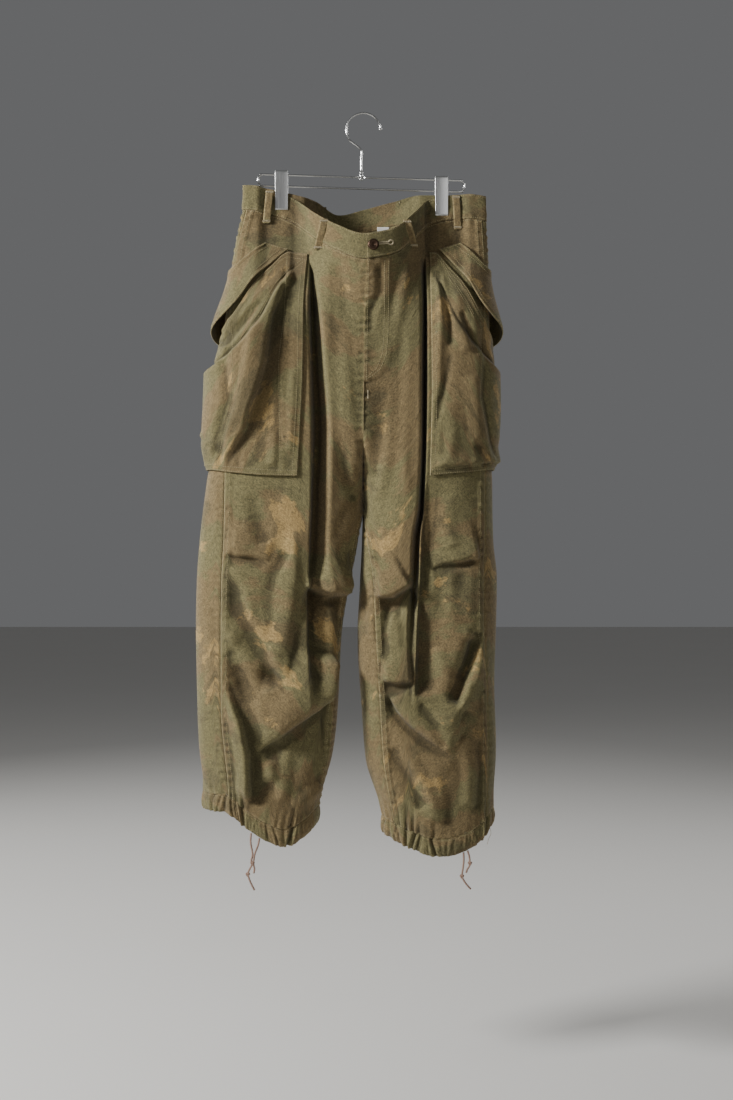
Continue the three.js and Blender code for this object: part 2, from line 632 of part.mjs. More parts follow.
// Free drawcord ends: hand-placed routes, and the knots on them
const CORDS = {
  drawcord_right_1: [[-170.5, -49.4, -1105.6], [-171, -51, -1120], [-168, -53.5, -1136],
    [-169.8, -55, -1146]],
  drawcord_right_2: [[-158, -46.6, -1113.6], [-160, -50, -1124], [-164.5, -53.5, -1136],
    [-166.2, -55, -1146]],
  drawcord_right_3: [[-169.5, -55, -1153.8], [-172, -55, -1158.5], [-174.2, -55, -1163.2]],
  drawcord_right_4: [[-174, -55, -1171], [-170.5, -55, -1180], [-165, -54, -1191]],
  drawcord_right_5: [[-166, -55, -1153.8], [-165, -56, -1159], [-166, -56, -1165]],
  drawcord_left_1: [[152.5, -41.6, -1136.2], [152.5, -44, -1150], [150, -47, -1167.5]],
  drawcord_left_2: [[151, -47.5, -1175.3], [156, -47.5, -1183], [163, -47, -1191]],
  drawcord_left_3: [[158.5, -40.6, -1133.6], [161, -43, -1142], [161.6, -45, -1148]],
  drawcord_left_4: [[161, -46, -1156], [158, -46, -1161], [156, -46, -1166.5]],
};
const KNOTS = {
  drawcord_knot_right_1: [-168, -55, -1150],
  drawcord_knot_right_2: [-175, -55, -1167],
  drawcord_knot_left_1: [149.6, -47.5, -1171.5],
  drawcord_knot_left_2: [161.8, -46, -1152],
};

const RIGHT_LEG = makeLeg("right", RIGHT, HEM_RIGHT);
const LEFT_LEG = makeLeg("left", LEFT, HEM_LEFT);

// Belt loops: x at the top and the foot, and how far they stand off
const LOOPS = [
  { topX: -145, x: -150, isFront: true, lift: 1.2 }, { topX: -59, x: -70, isFront: true, lift: 1 },
  { topX: 66, x: 78, isFront: true, lift: 1 }, { topX: 143, x: 146, isFront: true, lift: 1.2 },
  { topX: -64, x: -64, isFront: false, lift: 0.8 }, { topX: 0, x: 0, isFront: false, lift: 0.5 },
  { topX: 62, x: 62, isFront: false, lift: 0.6 },
];

const group = new THREE.Group();
const materials = {
  cloth: { color: COLOUR.cloth, roughness: 0.95, metalness: 0 },
  cord: { color: COLOUR.cord, roughness: 0.9, metalness: 0 },
  steel: { color: COLOUR.steel, roughness: 0.25, metalness: 1 },
  copper: { color: COLOUR.copper, roughness: 0.4, metalness: 1 },
  label: { color: COLOUR.label, roughness: 0.9, metalness: 0 },
};

function add(name, geometry, material) {
  const bare = geometry.clone();
  bare.deleteAttribute("normal");
  bare.deleteAttribute("uv");
  const finish = new THREE.MeshStandardMaterial(materials[material]);
  const mesh = new THREE.Mesh(mergeVertices(bare, 1e-4), finish);
  mesh.name = name;
  group.add(mesh);
  return mesh;
}

for (const leg of [RIGHT_LEG, LEFT_LEG]) {
  add(`front_${leg.name}`, legPanel(leg, true), "cloth");
  add(`back_${leg.name}`, legPanel(leg, false), "cloth");
  add(`hem_casing_${leg.name}`, casing(leg), "cloth");
  add(`pocket_${leg.name}`, pocket(leg), "cloth");
  add(`pocket_flap_${leg.name}`, pocketFlap(leg), "cloth");
}

add("waistband", waistband(), "cloth");
LOOPS.forEach((loop, k) => {
  add(`belt_loop_${k + 1}`, beltLoop(loop), "cloth");
});

const button = add("button", buttonGeometry(), "copper");
const seat = clothAt(BUTTON.x - BUTTON.radius, true, BUTTON.drop);
button.position.set(BUTTON.x, seat.p.y - OVERLAP_LIFT - 0.4, seat.p.z);
button.rotation.x = Math.PI;

const label = add("label", new THREE.BoxGeometry(LABEL.wide, 0.8, LABEL.tall), "label");
const labelSeat = clothAt(LABEL.x + LABEL.wide / 2, false, 0);
label.position.set(LABEL.x, labelSeat.p.y - CLOTH - 0.8, LABEL.top - LABEL.tall / 2);

add("hanger_hook", wire(hookCurve(), HOOK_WIRE, 28, 5), "steel");
const ferruleForm = new THREE.CylinderGeometry(FERRULE.radius, FERRULE.radius, FERRULE.tall, 14);
const ferrule = add("hanger_ferrule", ferruleForm, "steel");
ferrule.rotation.x = Math.PI / 2;
ferrule.position.set(FRAME.x, 0, FERRULE_Z);
add("hanger_wire", wire(frameCurve(), FRAME_WIRE, 40, 4), "steel");
for (const { name, x, top } of CLIPS) {
  const clip = add(name, clipGeometry(), "steel");
  clip.position.set(x, 0, top - CLIP.inner - CLIP.sheet);
}

for (const [name, route] of Object.entries(CORDS)) {
  const curve = new THREE.CatmullRomCurve3(route.map(([x, y, z]) => new THREE.Vector3(x, y, z)));
  add(name, wire(curve, CORD_RADIUS, 5, 4), "cord");
}
for (const [name, [x, y, z]] of Object.entries(KNOTS)) {
  add(name, new THREE.SphereGeometry(KNOT_RADIUS, 10, 6), "cord").position.set(x, y, z);
}

export default group;
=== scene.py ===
"""Cargo pants on a clip hanger: the cloth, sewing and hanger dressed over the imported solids."""
import math

import bpy
import numpy as np
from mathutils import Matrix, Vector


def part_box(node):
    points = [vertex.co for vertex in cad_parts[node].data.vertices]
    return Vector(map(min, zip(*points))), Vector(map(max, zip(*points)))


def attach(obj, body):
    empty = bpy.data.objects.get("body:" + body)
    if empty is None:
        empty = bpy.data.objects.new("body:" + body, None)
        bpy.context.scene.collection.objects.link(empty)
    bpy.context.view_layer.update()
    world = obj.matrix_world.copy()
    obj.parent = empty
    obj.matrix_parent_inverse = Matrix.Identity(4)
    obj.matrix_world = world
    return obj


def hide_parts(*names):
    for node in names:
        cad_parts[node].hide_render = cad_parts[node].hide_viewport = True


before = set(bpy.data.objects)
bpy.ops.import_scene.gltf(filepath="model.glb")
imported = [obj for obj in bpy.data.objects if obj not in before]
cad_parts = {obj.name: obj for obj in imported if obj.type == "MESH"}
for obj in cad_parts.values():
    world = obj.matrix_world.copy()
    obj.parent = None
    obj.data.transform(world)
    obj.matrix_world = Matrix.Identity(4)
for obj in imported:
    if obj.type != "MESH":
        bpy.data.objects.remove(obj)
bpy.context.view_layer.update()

bl_info = {
    "name": "Cargo Pants On A Clip Hanger",
    "version": (1, 0, 0),
    "blender": (4, 5, 0),
    "location": "View3D > Sidebar > Garment",
    "description": "Builds hung cargo pants from numpy surfaces over their solids",
    "category": "Object",
}

MM = 0.001

# ---------------------------------------------------------------- studio, in metres
CAMERA_PLACE = (4.65 * MM, -2.368, -0.6758)
CAMERA_LENS = 50
FLOOR_REACH = 14.0
# Lights: place, aim, size across and power
LIGHTS = {
    "key": ((-2.05, -1.0, 0.4), (0, 0, -0.45), 0.55, 98),
    "fill": ((1.0, -2.5, 0.3), (0, 0, -0.5), 1.6, 6.5),
    "back_left": ((-1.8, 2.0, 0.8), (0, 0, -0.5), 1.4, 42),
    "back_right": ((2.0, 1.6, 0.6), (0, 0, -0.5), 1.4, 24),
}
SKY_COLOUR = (0.86, 0.87, 0.89, 1)
SKY_STRENGTH = 0.155

# ---------------------------------------------------------------- form, in millimetres
CLOTH = 1.6
# Steps between panels, waistband and casing, and how far a pocket and a flap stand off
SEAM_STEP = 0.3
HEM_STEP = 0.5
SEWN_LIFT = 1.6
FLAP_LIFT = 2.0
# Levels of the waistband's foot and of the casing's top, and how far each one's drape reaches
WAIST_Z = -165
WAIST_FADE = 190
CASING_Z = -1092
HEM_FADE = 170
CASING_TALL = 27
BAND_TALL = 38
# Folds fade out over this angle beside a seam
SEAM_CALM = 0.22
# The legs are joined above these levels: fully from the first, and not at all from the second
FORK_TOP = -480
FORK_Z = -611
# Felled side seams and the fly's facing stand proud by this much, and inseams by this
SIDE_PROUD = 1.2
INSEAM_PROUD = 1.1
# The fly's facing: its width, and the level and height of its curved end
FLY_WIDE = 37
FLY_FOOT = -380
FLY_CURVE = 41
# A pleat's valley: its top, the height over which it opens, its gain, and how long it takes to go
PLEAT_TOP = -208
PLEAT_OPENS = 26
PLEAT_GAIN = 1.15
PLEAT_FADE = 110
# Gathers start this far above the casing
GATHER_TALL = 48

# Columns of a front's centre panel, pleat and outer panel, of a back, and rows down a leg
CENTRE_STEPS = 26
PLEAT_STEPS = 20
OUTER_STEPS = 42
BACK_STEPS = 76
LEG_ROWS = 320

WAIST = {
    "x": [-190, -166, -148, -107, -95, -75, -40, 0, 45, 80, 90, 101, 144, 164, 192],
    "frontTop": [-111, -113, -117, -132, -142, -160, -183, -198, -189, -157, -145, -134, -126, -126, -129],
    "frontDepth": [7, 9, 1.9, 1.9, 12, 32, 56, 66, 56, 28, 14, 1.9, 1.9, 9, 7],
    "backTop": [-111, -113, -116, -125, -128, -132, -149, -139, -129, -125, -126, -126, -127, -126, -129],
    "backDepth": [7, 9, 1.9, 1.9, 1.9, 17, 39, 46, 37, 10, 1.9, 1.9, 1.9, 9, 7],
}
LEVELS = [-165, -226, -300, -400, -500, -611, -660, -722, -800, -908, -1000, -1092]
FRONT_DEPTH = [60, 60, 60, 60, 58, 56, 56, 57, 58, 57, 54, 48]
BACK_DEPTH = [46, 46, 48, 50, 50, 50, 50, 48, 46, 44, 44, 42]
SQUARE = [6, 4.5, 3.4, 3, 2.8, 2.7, 2.6, 2.5, 2.4, 2.3, 2.2, 2.1]
OUTLINES = {
    "right": {
        "outer": [-187, -200, -211, -220, -230, -249, -254, -257, -258, -257, -255, -248],
        "outseam": [-181, -195, -203, -207, -210, -212, -213, -216, -217, -217, -212, -205],
        "lip": [-82, -83, -83, -81, -79, -80, -82, -83, -85, -84, -90, -112],
        "edge": [-70, -71, -64, -56, -49, -50, -52, -50, -46, -56, -76, -100],
        "seam": [5, 4, 2, 1, 0, -0.6, -10, -21, -36, -46, -53, -69],
        "inner": [5, 4, 2, 1, 0, -0.6, -5.5, -20, -32, -39, -48, -69],
        "recess": [0, 12, 26, 32, 34, 30, 27, 24, 20, 10, 0, 0],
    },
    "left": {
        "outer": [190, 193, 194, 195, 196, 200, 200, 205, 205, 203, 204, 201],
        "outseam": [184, 186, 185, 185, 185, 185, 185, 183, 184, 189, 190, 188],
        "lip": [95, 96, 97, 97, 96, 92, 87, 85, 80, 78, 78, 78],
        "edge": [86, 87, 88, 87, 87, 82, 73, 70, 65, 68, 68, 68],
        "seam": [5, 4, 2, 1, 0, 0.6, 6, 15, 19, 25, 31, 47],
        "inner": [5, 4, 2, 1, 0, 0.6, -2.5, -7.5, -10, -6, 1, 28],
        "recess": [0, 14, 28, 34, 36, 34, 28, 22, 12, 4, 0, 0],
    },
}
HEMS = {
    "right": {
        "x": [-250, -213, -177, -140, -119, -90, -69],
        "front": [-1075, -1076, -1100, -1122, -1128, -1115, -1096],
        "back": [-1075, -1082, -1090, -1095, -1096, -1096, -1096],
    },
    "left": {
        "x": [28, 57, 86, 111, 133, 153, 173, 201],
        "front": [-1112, -1125, -1136, -1142, -1141, -1135, -1126, -1100],
        "back": [-1112, -1113, -1113, -1112, -1110, -1108, -1105, -1100],
    },
}

# Folds: rise, width of the flank left and right of the way it runs, strength at its start
# and end, and its line (x, z) as seen from the front
FOLDS = {
    "right": [
        (7, 60, 7, 1, 0.2, [(-214, -678), (-190, -682), (-165, -684), (-140, -690)]),
        (6, 40, 7, 1, 0.1, [(-218, -808), (-203, -811), (-188, -818)]),
        (12, 10, 60, 1, 1, [(-20, -744), (-50, -740), (-88, -730)]),
        (19, 34, 80, 1, 0.35, [(-30, -840), (-45, -882), (-78, -908), (-111, -932), (-160, -966)]),
        (-9, 20, 32, 0.5, 0.8, [(-211, -690), (-185, -780), (-150, -842), (-128, -885)]),
        (7, 18, 34, 0.4, 1, [(-166, -900), (-150, -960), (-138, -1030)]),
        (8, 20, 26, 0.3, 0.7, [(-110, -1066), (-85, -1056), (-62, -1040)]),
    ],
    "left": [
        (7, 7, 60, 1, 0.2, [(178, -685), (150, -690), (120, -694), (104, -700)]),
        (7, 7, 45, 1, 0.2, [(184, -808), (172, -830), (158, -862)]),
        (12, 60, 9, 1, 0.8, [(12, -745), (45, -743), (74, -724)]),
        (10, 50, 12, 1, 0.5, [(24, -870), (48, -873), (74, -872)]),
        (-10, 14, 36, 0.8, 0.5, [(180, -812), (162, -860), (144, -908)]),
        (9, 60, 20, 0.6, 0.6, [(46, -894), (60, -914), (80, -934), (104, -952), (140, -976)]),
        (9, 16, 36, 0.5, 0.5, [(157, -870), (142, -914), (128, -945)]),
        (-7, 20, 20, 0.4, 0.8, [(40, -975), (70, -1030), (92, -1070)]),
    ],
}

# Where each pleat has opened out and gone
PLEAT_END = {"right": -960, "left": -890}
# Where its lip starts to lose its edge
PLEAT_SOFT = {"right": -800, "left": -600}

# How much deeper the dressed folds are than the plain solids' own
FOLD_GAIN = 1.35

# Hollows under the folds' crisp lips, in the same form
HOLLOWS = {
    "right": [
        (-15, 84, 5, 1, 0.5, [(-44, -902), (-66, -924), (-90, -938), (-118, -956), (-160, -986)]),
        (-17, 60, 5, 0.6, 1, [(-20, -748), (-50, -744), (-90, -734)]),
        (-5, 4, 24, 1, 0.2, [(-214, -683), (-190, -687), (-165, -689), (-140, -695)]),
        (11, 7, 30, 0.2, 1, [(-214, -872), (-198, -910), (-187, -934), (-177, -986), (-175, -1066)]),
        (-12, 60, 6, 0.3, 1, [(-208, -874), (-192, -911), (-181, -936), (-171, -986), (-169, -1066)]),
        (-9, 26, 44, 0.4, 1, [(-206, -822), (-190, -860), (-160, -880), (-128, -860)]),
        (5, 10, 34, 0.5, 1, [(-106, -640), (-104, -720), (-110, -800), (-120, -870)]),
        (-8, 22, 16, 0.7, 1, [(-196, -846), (-178, -905), (-150, -960), (-138, -1000)]),
        (5, 26, 14, 0.4, 1, [(-130, -690), (-128, -780), (-140, -860), (-150, -905)]),
    ],
    "left": [
        (-12, 5, 20, 1, 0.3, [(34, -898), (48, -922), (66, -942), (92, -962), (136, -992)]),
        (-14, 5, 44, 1, 1, [(14, -751), (45, -749), (76, -730)]),
        (-9, 5, 40, 1, 0.6, [(24, -876), (48, -879), (76, -878)]),
        (-4, 20, 4, 0.5, 1, [(178, -690), (150, -695), (120, -699), (104, -705)]),
        (-19, 4, 26, 1, 0.6, [(183, -800), (163, -856), (140, -915)]),
        (9, 34, 4, 0.8, 0.8, [(187, -805), (167, -860), (144, -919)]),
        (-15, 56, 5, 0.5, 1, [(97, -560), (92, -650), (89, -722), (85, -800), (83, -850), (84, -900)]),
    ],
}

# Smaller creases of the fronts and backs, laid over the folds in the same form
CREASES = {
    "right": [
        (5, 6, 14, 0.6, 1, [(-213, -884), (-187, -934), (-176, -986), (-173, -1060)]),
        (-3, 6, 9, 1, 0.3, [(-114, -679), (-131, -707), (-140, -740)]),
        (-4, 9, 5, 1, 0.2, [(-205, -678), (-170, -690), (-150, -700)]),
        (-4, 7, 7, 1, 0.1, [(-30, -752), (-60, -760), (-84, -790)]),
        (4, 14, 8, 0.2, 0.8, [(-50, -640), (-40, -700), (-34, -738)]),
        (-4, 10, 8, 0.9, 0.2, [(-52, -905), (-90, -940), (-128, -980)]),
        (3.5, 12, 9, 0.3, 1, [(-100, -960), (-120, -1000), (-126, -1060)]),
        (-3, 8, 8, 0.2, 1, [(-196, -1000), (-204, -1040), (-208, -1070)]),
        (-4, 9, 7, 0.3, 1, [(-222, -980), (-226, -1030), (-222, -1070)]),
        (3, 9, 9, 0.3, 0.9, [(-240, -780), (-238, -860), (-230, -930), (-214, -990)]),
        (-3, 10, 8, 0.8, 0.2, [(-8, -600), (-26, -560), (-40, -500), (-44, -440)]),
        (2.6, 8, 12, 0.3, 1, [(-30, -300), (-26, -400), (-16, -500), (-8, -560)]),
        (-2.6, 10, 6, 1, 0.3, [(-10, -590), (-30, -620), (-44, -664)]),
        (3, 9, 14, 1, 0.3, [(-60, -230), (-56, -300), (-50, -380)]),
        (-2, 8, 8, 1, 0.2, [(-38, -236), (-30, -300), (-28, -350)]),
        (3, 12, 12, 0.3, 1, [(-110, -600), (-104, -660), (-112, -760), (-122, -840)]),
        (-3, 12, 12, 0.5, 1, [(-170, -590), (-160, -640), (-150, -668)]),
        (3, 14, 10, 1, 0.3, [(-196, -700), (-214, -740), (-226, -790)]),
        (-3, 9, 14, 0.3, 1, [(-150, -1040), (-160, -1066), (-166, -1090)]),
    ],
    "left": [
        (-3, 6, 7, 1, 0.4, [(25, -240), (26, -284), (12, -316), (9.5, -349)]),
        (3.4, 8, 14, 1, 0.3, [(70, -239), (55, -312), (47, -355), (36, -394)]),
        (-2.6, 9, 7, 0.9, 0.3, [(56, -238), (46, -290), (40, -330)]),
        (2.4, 10, 8, 0.3, 1, [(70, -320), (66, -420), (60, -520), (64, -600)]),
        (-3, 8, 12, 0.3, 1, [(30, -420), (24, -500), (14, -570)]),
        (3, 10, 8, 0.2, 1, [(46, -470), (34, -540), (20, -600)]),
        (-4, 5, 9, 1, 0.2, [(170, -692), (148, -700), (120, -706)]),
        (-4, 8, 8, 1, 0.3, [(46, -752), (60, -790), (64, -830)]),
        (-5, 7, 7, 1, 0.4, [(40, -752), (30, -800), (34, -850)]),
        (4, 12, 10, 0.8, 0.3, [(112, -820), (120, -860), (114, -900)]),
        (-4, 9, 9, 0.4, 1, [(84, -905), (104, -935), (126, -978)]),
        (4, 14, 10, 0.4, 1, [(150, -960), (160, -1010), (158, -1070)]),
        (-3.4, 9, 9, 0.3, 1, [(176, -960), (180, -1010), (174, -1080)]),
        (3, 10, 12, 0.4, 1, [(70, -990), (96, -1040), (112, -1090)]),
        (-3.5, 8, 8, 0.2, 1, [(58, -1040), (70, -1075), (76, -1098)]),
        (-3, 10, 8, 0.2, 1, [(122, -1010), (130, -1050), (128, -1100)]),
        (3, 12, 12, 0.4, 1, [(130, -590), (126, -640), (134, -674)]),
        (-3, 12, 10, 1, 0.2, [(150, -708), (144, -750), (150, -800)]),
        (3, 10, 10, 1, 0.3, [(108, -700), (100, -760), (96, -820)]),
    ],
}
BACK_CREASES = {
    "right": [
        (6, 26, 40, 0.4, 1, [(-60, -220), (-74, -330), (-80, -450), (-96, -560)]),
        (-6, 24, 20, 0.3, 1, [(-112, -230), (-120, -340), (-128, -470), (-150, -600)]),
        (7, 30, 14, 1, 0.3, [(-10, -560), (-60, -600), (-120, -618)]),
        (6, 26, 12, 1, 0.3, [(-14, -600), (-56, -650), (-104, -682)]),
        (-5, 12, 18, 1, 0.2, [(-20, -540), (-40, -480), (-50, -420)]),
        (8, 30, 12, 1, 0.2, [(-226, -740), (-180, -756), (-130, -748)]),
        (7, 14, 40, 1, 0.2, [(-40, -790), (-84, -782), (-130, -800)]),
        (-7, 20, 24, 0.4, 1, [(-190, -790), (-160, -870), (-150, -950)]),
        (9, 26, 20, 0.4, 1, [(-120, -850), (-110, -940), (-124, -1050)]),
        (6, 14, 26, 0.4, 1, [(-210, -900), (-200, -980), (-204, -1060)]),
        (-5, 16, 14, 0.3, 1, [(-84, -940), (-90, -1000), (-96, -1070)]),
        (5, 12, 30, 1, 0.3, [(-60, -900), (-100, -930), (-150, -926)]),
    ],
    "left": [
        (6, 36, 26, 0.4, 1, [(58, -220), (66, -330), (76, -460), (80, -560)]),
        (-6, 20, 24, 0.3, 1, [(116, -230), (120, -350), (112, -480), (126, -600)]),
        (7, 14, 30, 1, 0.3, [(12, -556), (54, -592), (112, -600)]),
        (5, 12, 24, 1, 0.3, [(12, -604), (50, -640), (88, -690)]),
        (-5, 18, 12, 1, 0.2, [(18, -536), (36, -470), (40, -410)]),
        (8, 12, 30, 1, 0.2, [(190, -770), (150, -790), (104, -776)]),
        (7, 40, 14, 1, 0.2, [(4, -800), (46, -796), (88, -818)]),
        (-7, 24, 20, 0.4, 1, [(150, -820), (124, -890), (120, -970)]),
        (9, 20, 26, 0.4, 1, [(90, -870), (84, -960), (100, -1060)]),
        (6, 26, 14, 0.4, 1, [(172, -900), (160, -990), (170, -1070)]),
        (-5, 14, 16, 0.3, 1, [(50, -950), (60, -1010), (62, -1080)]),
        (5, 30, 12, 1, 0.3, [(20, -920), (60, -946), (108, -940)]),
    ],
}

POCKET = {
    "mouthAround": [-118, -90, -73, -56, -36, -18, 0, 40, 96],
    "mouthZ": [-224, -250, -279, -322, -354, -376, -396, -408, -412],
    "frontZ": [-570, -498, -418, -324, -224],
    "bottomAround": [-145, -100, -40, 0, 96],
    "bottomZ": [-564, -563, -558, -553, -552],
    "rear": 96,
}
# Upper edge of the pocket's hemmed mouth, just below the flap's free edge
MOUTH_EDGE = {
    "around": [-118, -84, -63, -40, -18, 0, 30, 96],
    "z": [-224, -217, -240, -270, -316, -354, -385, -398],
}
# The ridge of the right pocket's slack cloth; the strip in front of it lies flat
POCKET_RIDGE = [(-112, -250), (-124, -290), (-139, -324), (-145, -388), (-158, -434), (-178, -491),
                (-206, -536)]
# Seam between the mouth's hem and the pocket
MOUTH_SEAM = {
    "right": [(-92, -234), (-114, -251), (-136, -279), (-158, -324), (-180, -355), (-199, -378)],
    "left": [(118, -232), (132, -262), (152, -296), (168, -326)],
}
POCKET_FRONT = {"right": [-142, -134, -130, -123, -112], "left": [-99, -94, -92, -92, -91]}
POCKET_ROOM = {"right": 21, "left": 13}
# Sewn lines on the pockets: the right one's flat front strip, and both ones' gussets
POCKET_SEAMS = {
    "right": [[(-117, -214), (-120, -324), (-128, -388), (-126, -540)],
              [(-201, -322), (-197, -384), (-196, -450), (-209, -491), (-224, -546)]],
    "left": [[(178, -330), (179, -388), (176, -443), (188, -507), (196, -540)]],
}
POCKET_CREASES = {
    "right": [
        (-3.5, 5, 6, 0.8, 0.5, [(-119, -236), (-121, -324), (-127, -388), (-126, -545)]),
        (-7, 9, 9, 0.6, 1, [(-199, -330), (-197, -418), (-195, -450), (-207, -491), (-220, -546)]),
        (8, 26, 10, 0.9, 0.4, [(-160, -330), (-168, -380), (-176, -430), (-188, -486)]),
        (-6, 8, 10, 0.6, 1, [(-152, -292), (-170, -322), (-196, -352), (-214, -366)]),
        (6, 14, 8, 0.4, 1, [(-176, -300), (-196, -326), (-214, -340)]),
        (-9, 9, 5, 0.5, 1, [(-118, -262), (-128, -300), (-138, -340), (-144, -392), (-158, -440),
                            (-176, -492)]),
        (-5, 8, 8, 0.5, 1, [(-206, -392), (-222, -398), (-236, -396)]),
        (-6, 12, 12, 0.3, 1, [(-212, -400), (-224, -450), (-236, -500)]),
        (3, 14, 14, 0.5, 1, [(-104, -400), (-106, -460), (-110, -530)]),
        (5, 14, 14, 0.5, 0.3, [(-238, -400), (-240, -450), (-232, -510)]),
        (-4, 9, 9, 0.4, 1, [(-150, -480), (-152, -510), (-158, -545)]),
        (4, 10, 12, 0.4, 1, [(-136, -500), (-134, -525), (-138, -550)]),
        (-3, 8, 8, 1, 0.4, [(-230, -500), (-218, -520), (-206, -528)]),
    ],
    "left": [
        (-5, 7, 9, 0.9, 0.4, [(102, -248), (106, -290), (106, -330), (101, -400), (96, -460)]),
        (6, 13, 15, 1, 0.4, [(112, -250), (118, -300), (114, -360), (106, -430), (100, -480)]),
        (-6, 6, 9, 1, 0.7, [(112, -246), (122, -290), (130, -330), (132, -372)]),
        (-4, 7, 7, 0.4, 1, [(132, -372), (124, -420), (112, -468), (100, -500)]),
        (6, 12, 12, 0.5, 0.6, [(140, -280), (146, -330), (152, -380)]),
        (-5, 8, 7, 0.8, 0.6, [(147, -312), (158, -347), (168, -382)]),
        (-4.5, 8, 8, 0.7, 1, [(178, -340), (179, -388), (175, -443), (188, -507), (196, -544)]),
        (6, 14, 16, 0.5, 0.8, [(160, -410), (166, -450), (172, -520)]),
        (-5, 12, 12, 0.5, 0.8, [(110, -440), (104, -480), (98, -530)]),
        (4, 14, 12, 0.4, 1, [(126, -450), (132, -500), (128, -550)]),
        (-4, 8, 8, 1, 0.2, [(186, -548), (174, -530), (168, -500)]),
    ],
}
FLAP = {
    "sewnTurn": [-57, -50, -38, -18, 20, 42],
    "sewnZ": [-202, -210, -224, -242, -252, -262],
    "freeTurn": [-79, -67, -52, -34, 0, 45],
    "freeZ": [-212, -234, -262, -304, -344, -374],
    "slack": [0, 2, 5, 9, 15, 7],
}

GATHERS = 18
GATHER_RISE = 2.2

HOOK_RADIUS = 26.4
HOOK_WIRE = 1.6
FRAME_WIRE = 1.5
WIRE_FRAME = {"x": -3.5, "z": -107, "half": 160, "spacing": 17.5, "tilt": -0.0315}
FERRULE = {"radius": 2.9, "tall": 13}
FERRULE_Z = WIRE_FRAME["z"] + WIRE_FRAME["spacing"] / 2 + 2
CLIP = {"wide": 20, "tall": 62, "inner": 2.4, "sheet": 1.5}
CLIP_ROUND = 0.55
CLIPS = {"clip_right": (-127, -87), "clip_left": (121, -96)}

UNDERLAP_END = 46
OVERLAP_LIFT = 2.3
LOOP_WIDE = 11.5
LOOP_THICK = 1.4
LOOP_ARCH = 2.2
LOOP_HIGH = 1
LOOP_LOW = 54
BUTTON = {"radius": 8.5, "hole": 2.6, "thick": 3.4}
# Belt loops: x at the top and the foot, on the front or not, and how far they stand off
LOOPS = [(-145, -150, True, 1.2), (-59, -70, True, 1), (66, 78, True, 1), (143, 146, True, 1.2),
         (-64, -64, False, 0.8), (0, 0, False, 0.5), (62, 62, False, 0.6)]

# Small dark spots painted on the cloth: x, z and radius
DARK_SPOTS = {
    "cloth_front_left": [(153, -682, 2.5), (112, -676, 1.6)],
    "cloth_pocket_right": [(-119, -505, 2.2), (-121, -515, 1.5)],
    "cloth_front_right": [(-96, -586, 1.8)],
}

# Free drawcord ends. Each runs through its knots, the first points lying in the hem
CORDS = {
    "drawcord_end_right_long": {
        "path": [(-170.5, -49.4, -1105.6), (-171, -51, -1120), (-168, -53.5, -1136), (-169.8, -55, -1146),
                 (-168.6, -55, -1150), (-169.5, -55, -1153.8), (-172, -55, -1158.5), (-174.2, -55, -1163.2),
                 (-175, -55, -1167), (-174, -55, -1171), (-170.5, -55, -1180), (-165, -54, -1191)],
        "nodes": ["drawcord_right_1", "drawcord_right_3", "drawcord_right_4"],
    },
    "drawcord_end_right_short": {
        "path": [(-158, -46.6, -1113.6), (-160, -50, -1124), (-164.5, -53.5, -1136), (-166.2, -55, -1146),
                 (-167, -55, -1150), (-166, -55, -1153.8), (-165, -56, -1159), (-166, -56, -1165)],
        "nodes": ["drawcord_right_2", "drawcord_right_5"],
    },
    "drawcord_end_left_long": {
        "path": [(152.5, -41.6, -1136.2), (152.5, -44, -1150), (150, -47, -1167.5), (149.8, -47.4, -1171.5),
                 (151, -47.5, -1175.3), (156, -47.5, -1183), (163, -47, -1191)],
        "nodes": ["drawcord_left_1", "drawcord_left_2"],
    },
    "drawcord_end_left_short": {
        "path": [(158.5, -40.6, -1133.6), (161, -43, -1142), (161.6, -45, -1148), (161.8, -46, -1152),
                 (161, -46, -1156), (158, -46, -1161), (156, -46, -1166.5)],
        "nodes": ["drawcord_left_3", "drawcord_left_4"],
    },
}
PLAIT_TURN = 5.5
KNOT_TIGHT = 0.86
KNOTS = {
    "drawcord_knot_right_1": (-168, -55, -1150),
    "drawcord_knot_right_2": (-175, -55, -1167),
    "drawcord_knot_left_1": (149.6, -47.5, -1171.5),
    "drawcord_knot_left_2": (161.8, -46, -1152),
}


# ---------------------------------------------------------------- curves and grids
def along(xs, ys, x):
    """Cubic through a table whose slopes are harmonic means of its chords, so it never overshoots."""
    xs, ys = np.asarray(xs, float), np.asarray(ys, float)
    if xs[-1] < xs[0]:
        xs, ys = xs[::-1], ys[::-1]
    wide = np.diff(xs)
    slope = np.diff(ys) / wide
    a, b = slope[:-1], slope[1:]
    both = np.where(a + b == 0, 1, a + b)
    inside = np.where(a * b > 0, 2 * a * b / both, 0)
    tangent = np.concatenate([slope[:1], inside, slope[-1:]])
    i = np.clip(np.searchsorted(xs, x) - 1, 0, len(wide) - 1)
    t = np.clip((x - xs[i]) / wide[i], 0, 1)
    rest = 1 - t
    return (ys[i] * (1 + 2 * t) * rest * rest + tangent[i] * wide[i] * t * rest * rest
            + ys[i + 1] * t * t * (3 - 2 * t) - tangent[i + 1] * wide[i] * t * t * rest)


def smooth(t):
    """Ease from 0 to 1: t squared times (3 - 2t), held outside."""
    c = np.clip(t, 0, 1)
    return c * c * (3 - 2 * c)


def hump(v, at, wide):
    """Bell curve of height 1."""
    return np.exp(-((v - at) / wide) ** 2)


def mix(a, b, t):
    return a + (b - a) * t


def power(v, p):
    """A power that keeps the sign."""
    return np.sign(v) * np.abs(v) ** p


def unit(v):
    """Vectors of length 1 along the last axis."""
    return v / np.maximum(np.linalg.norm(v, axis=-1, keepdims=True), 1e-9)


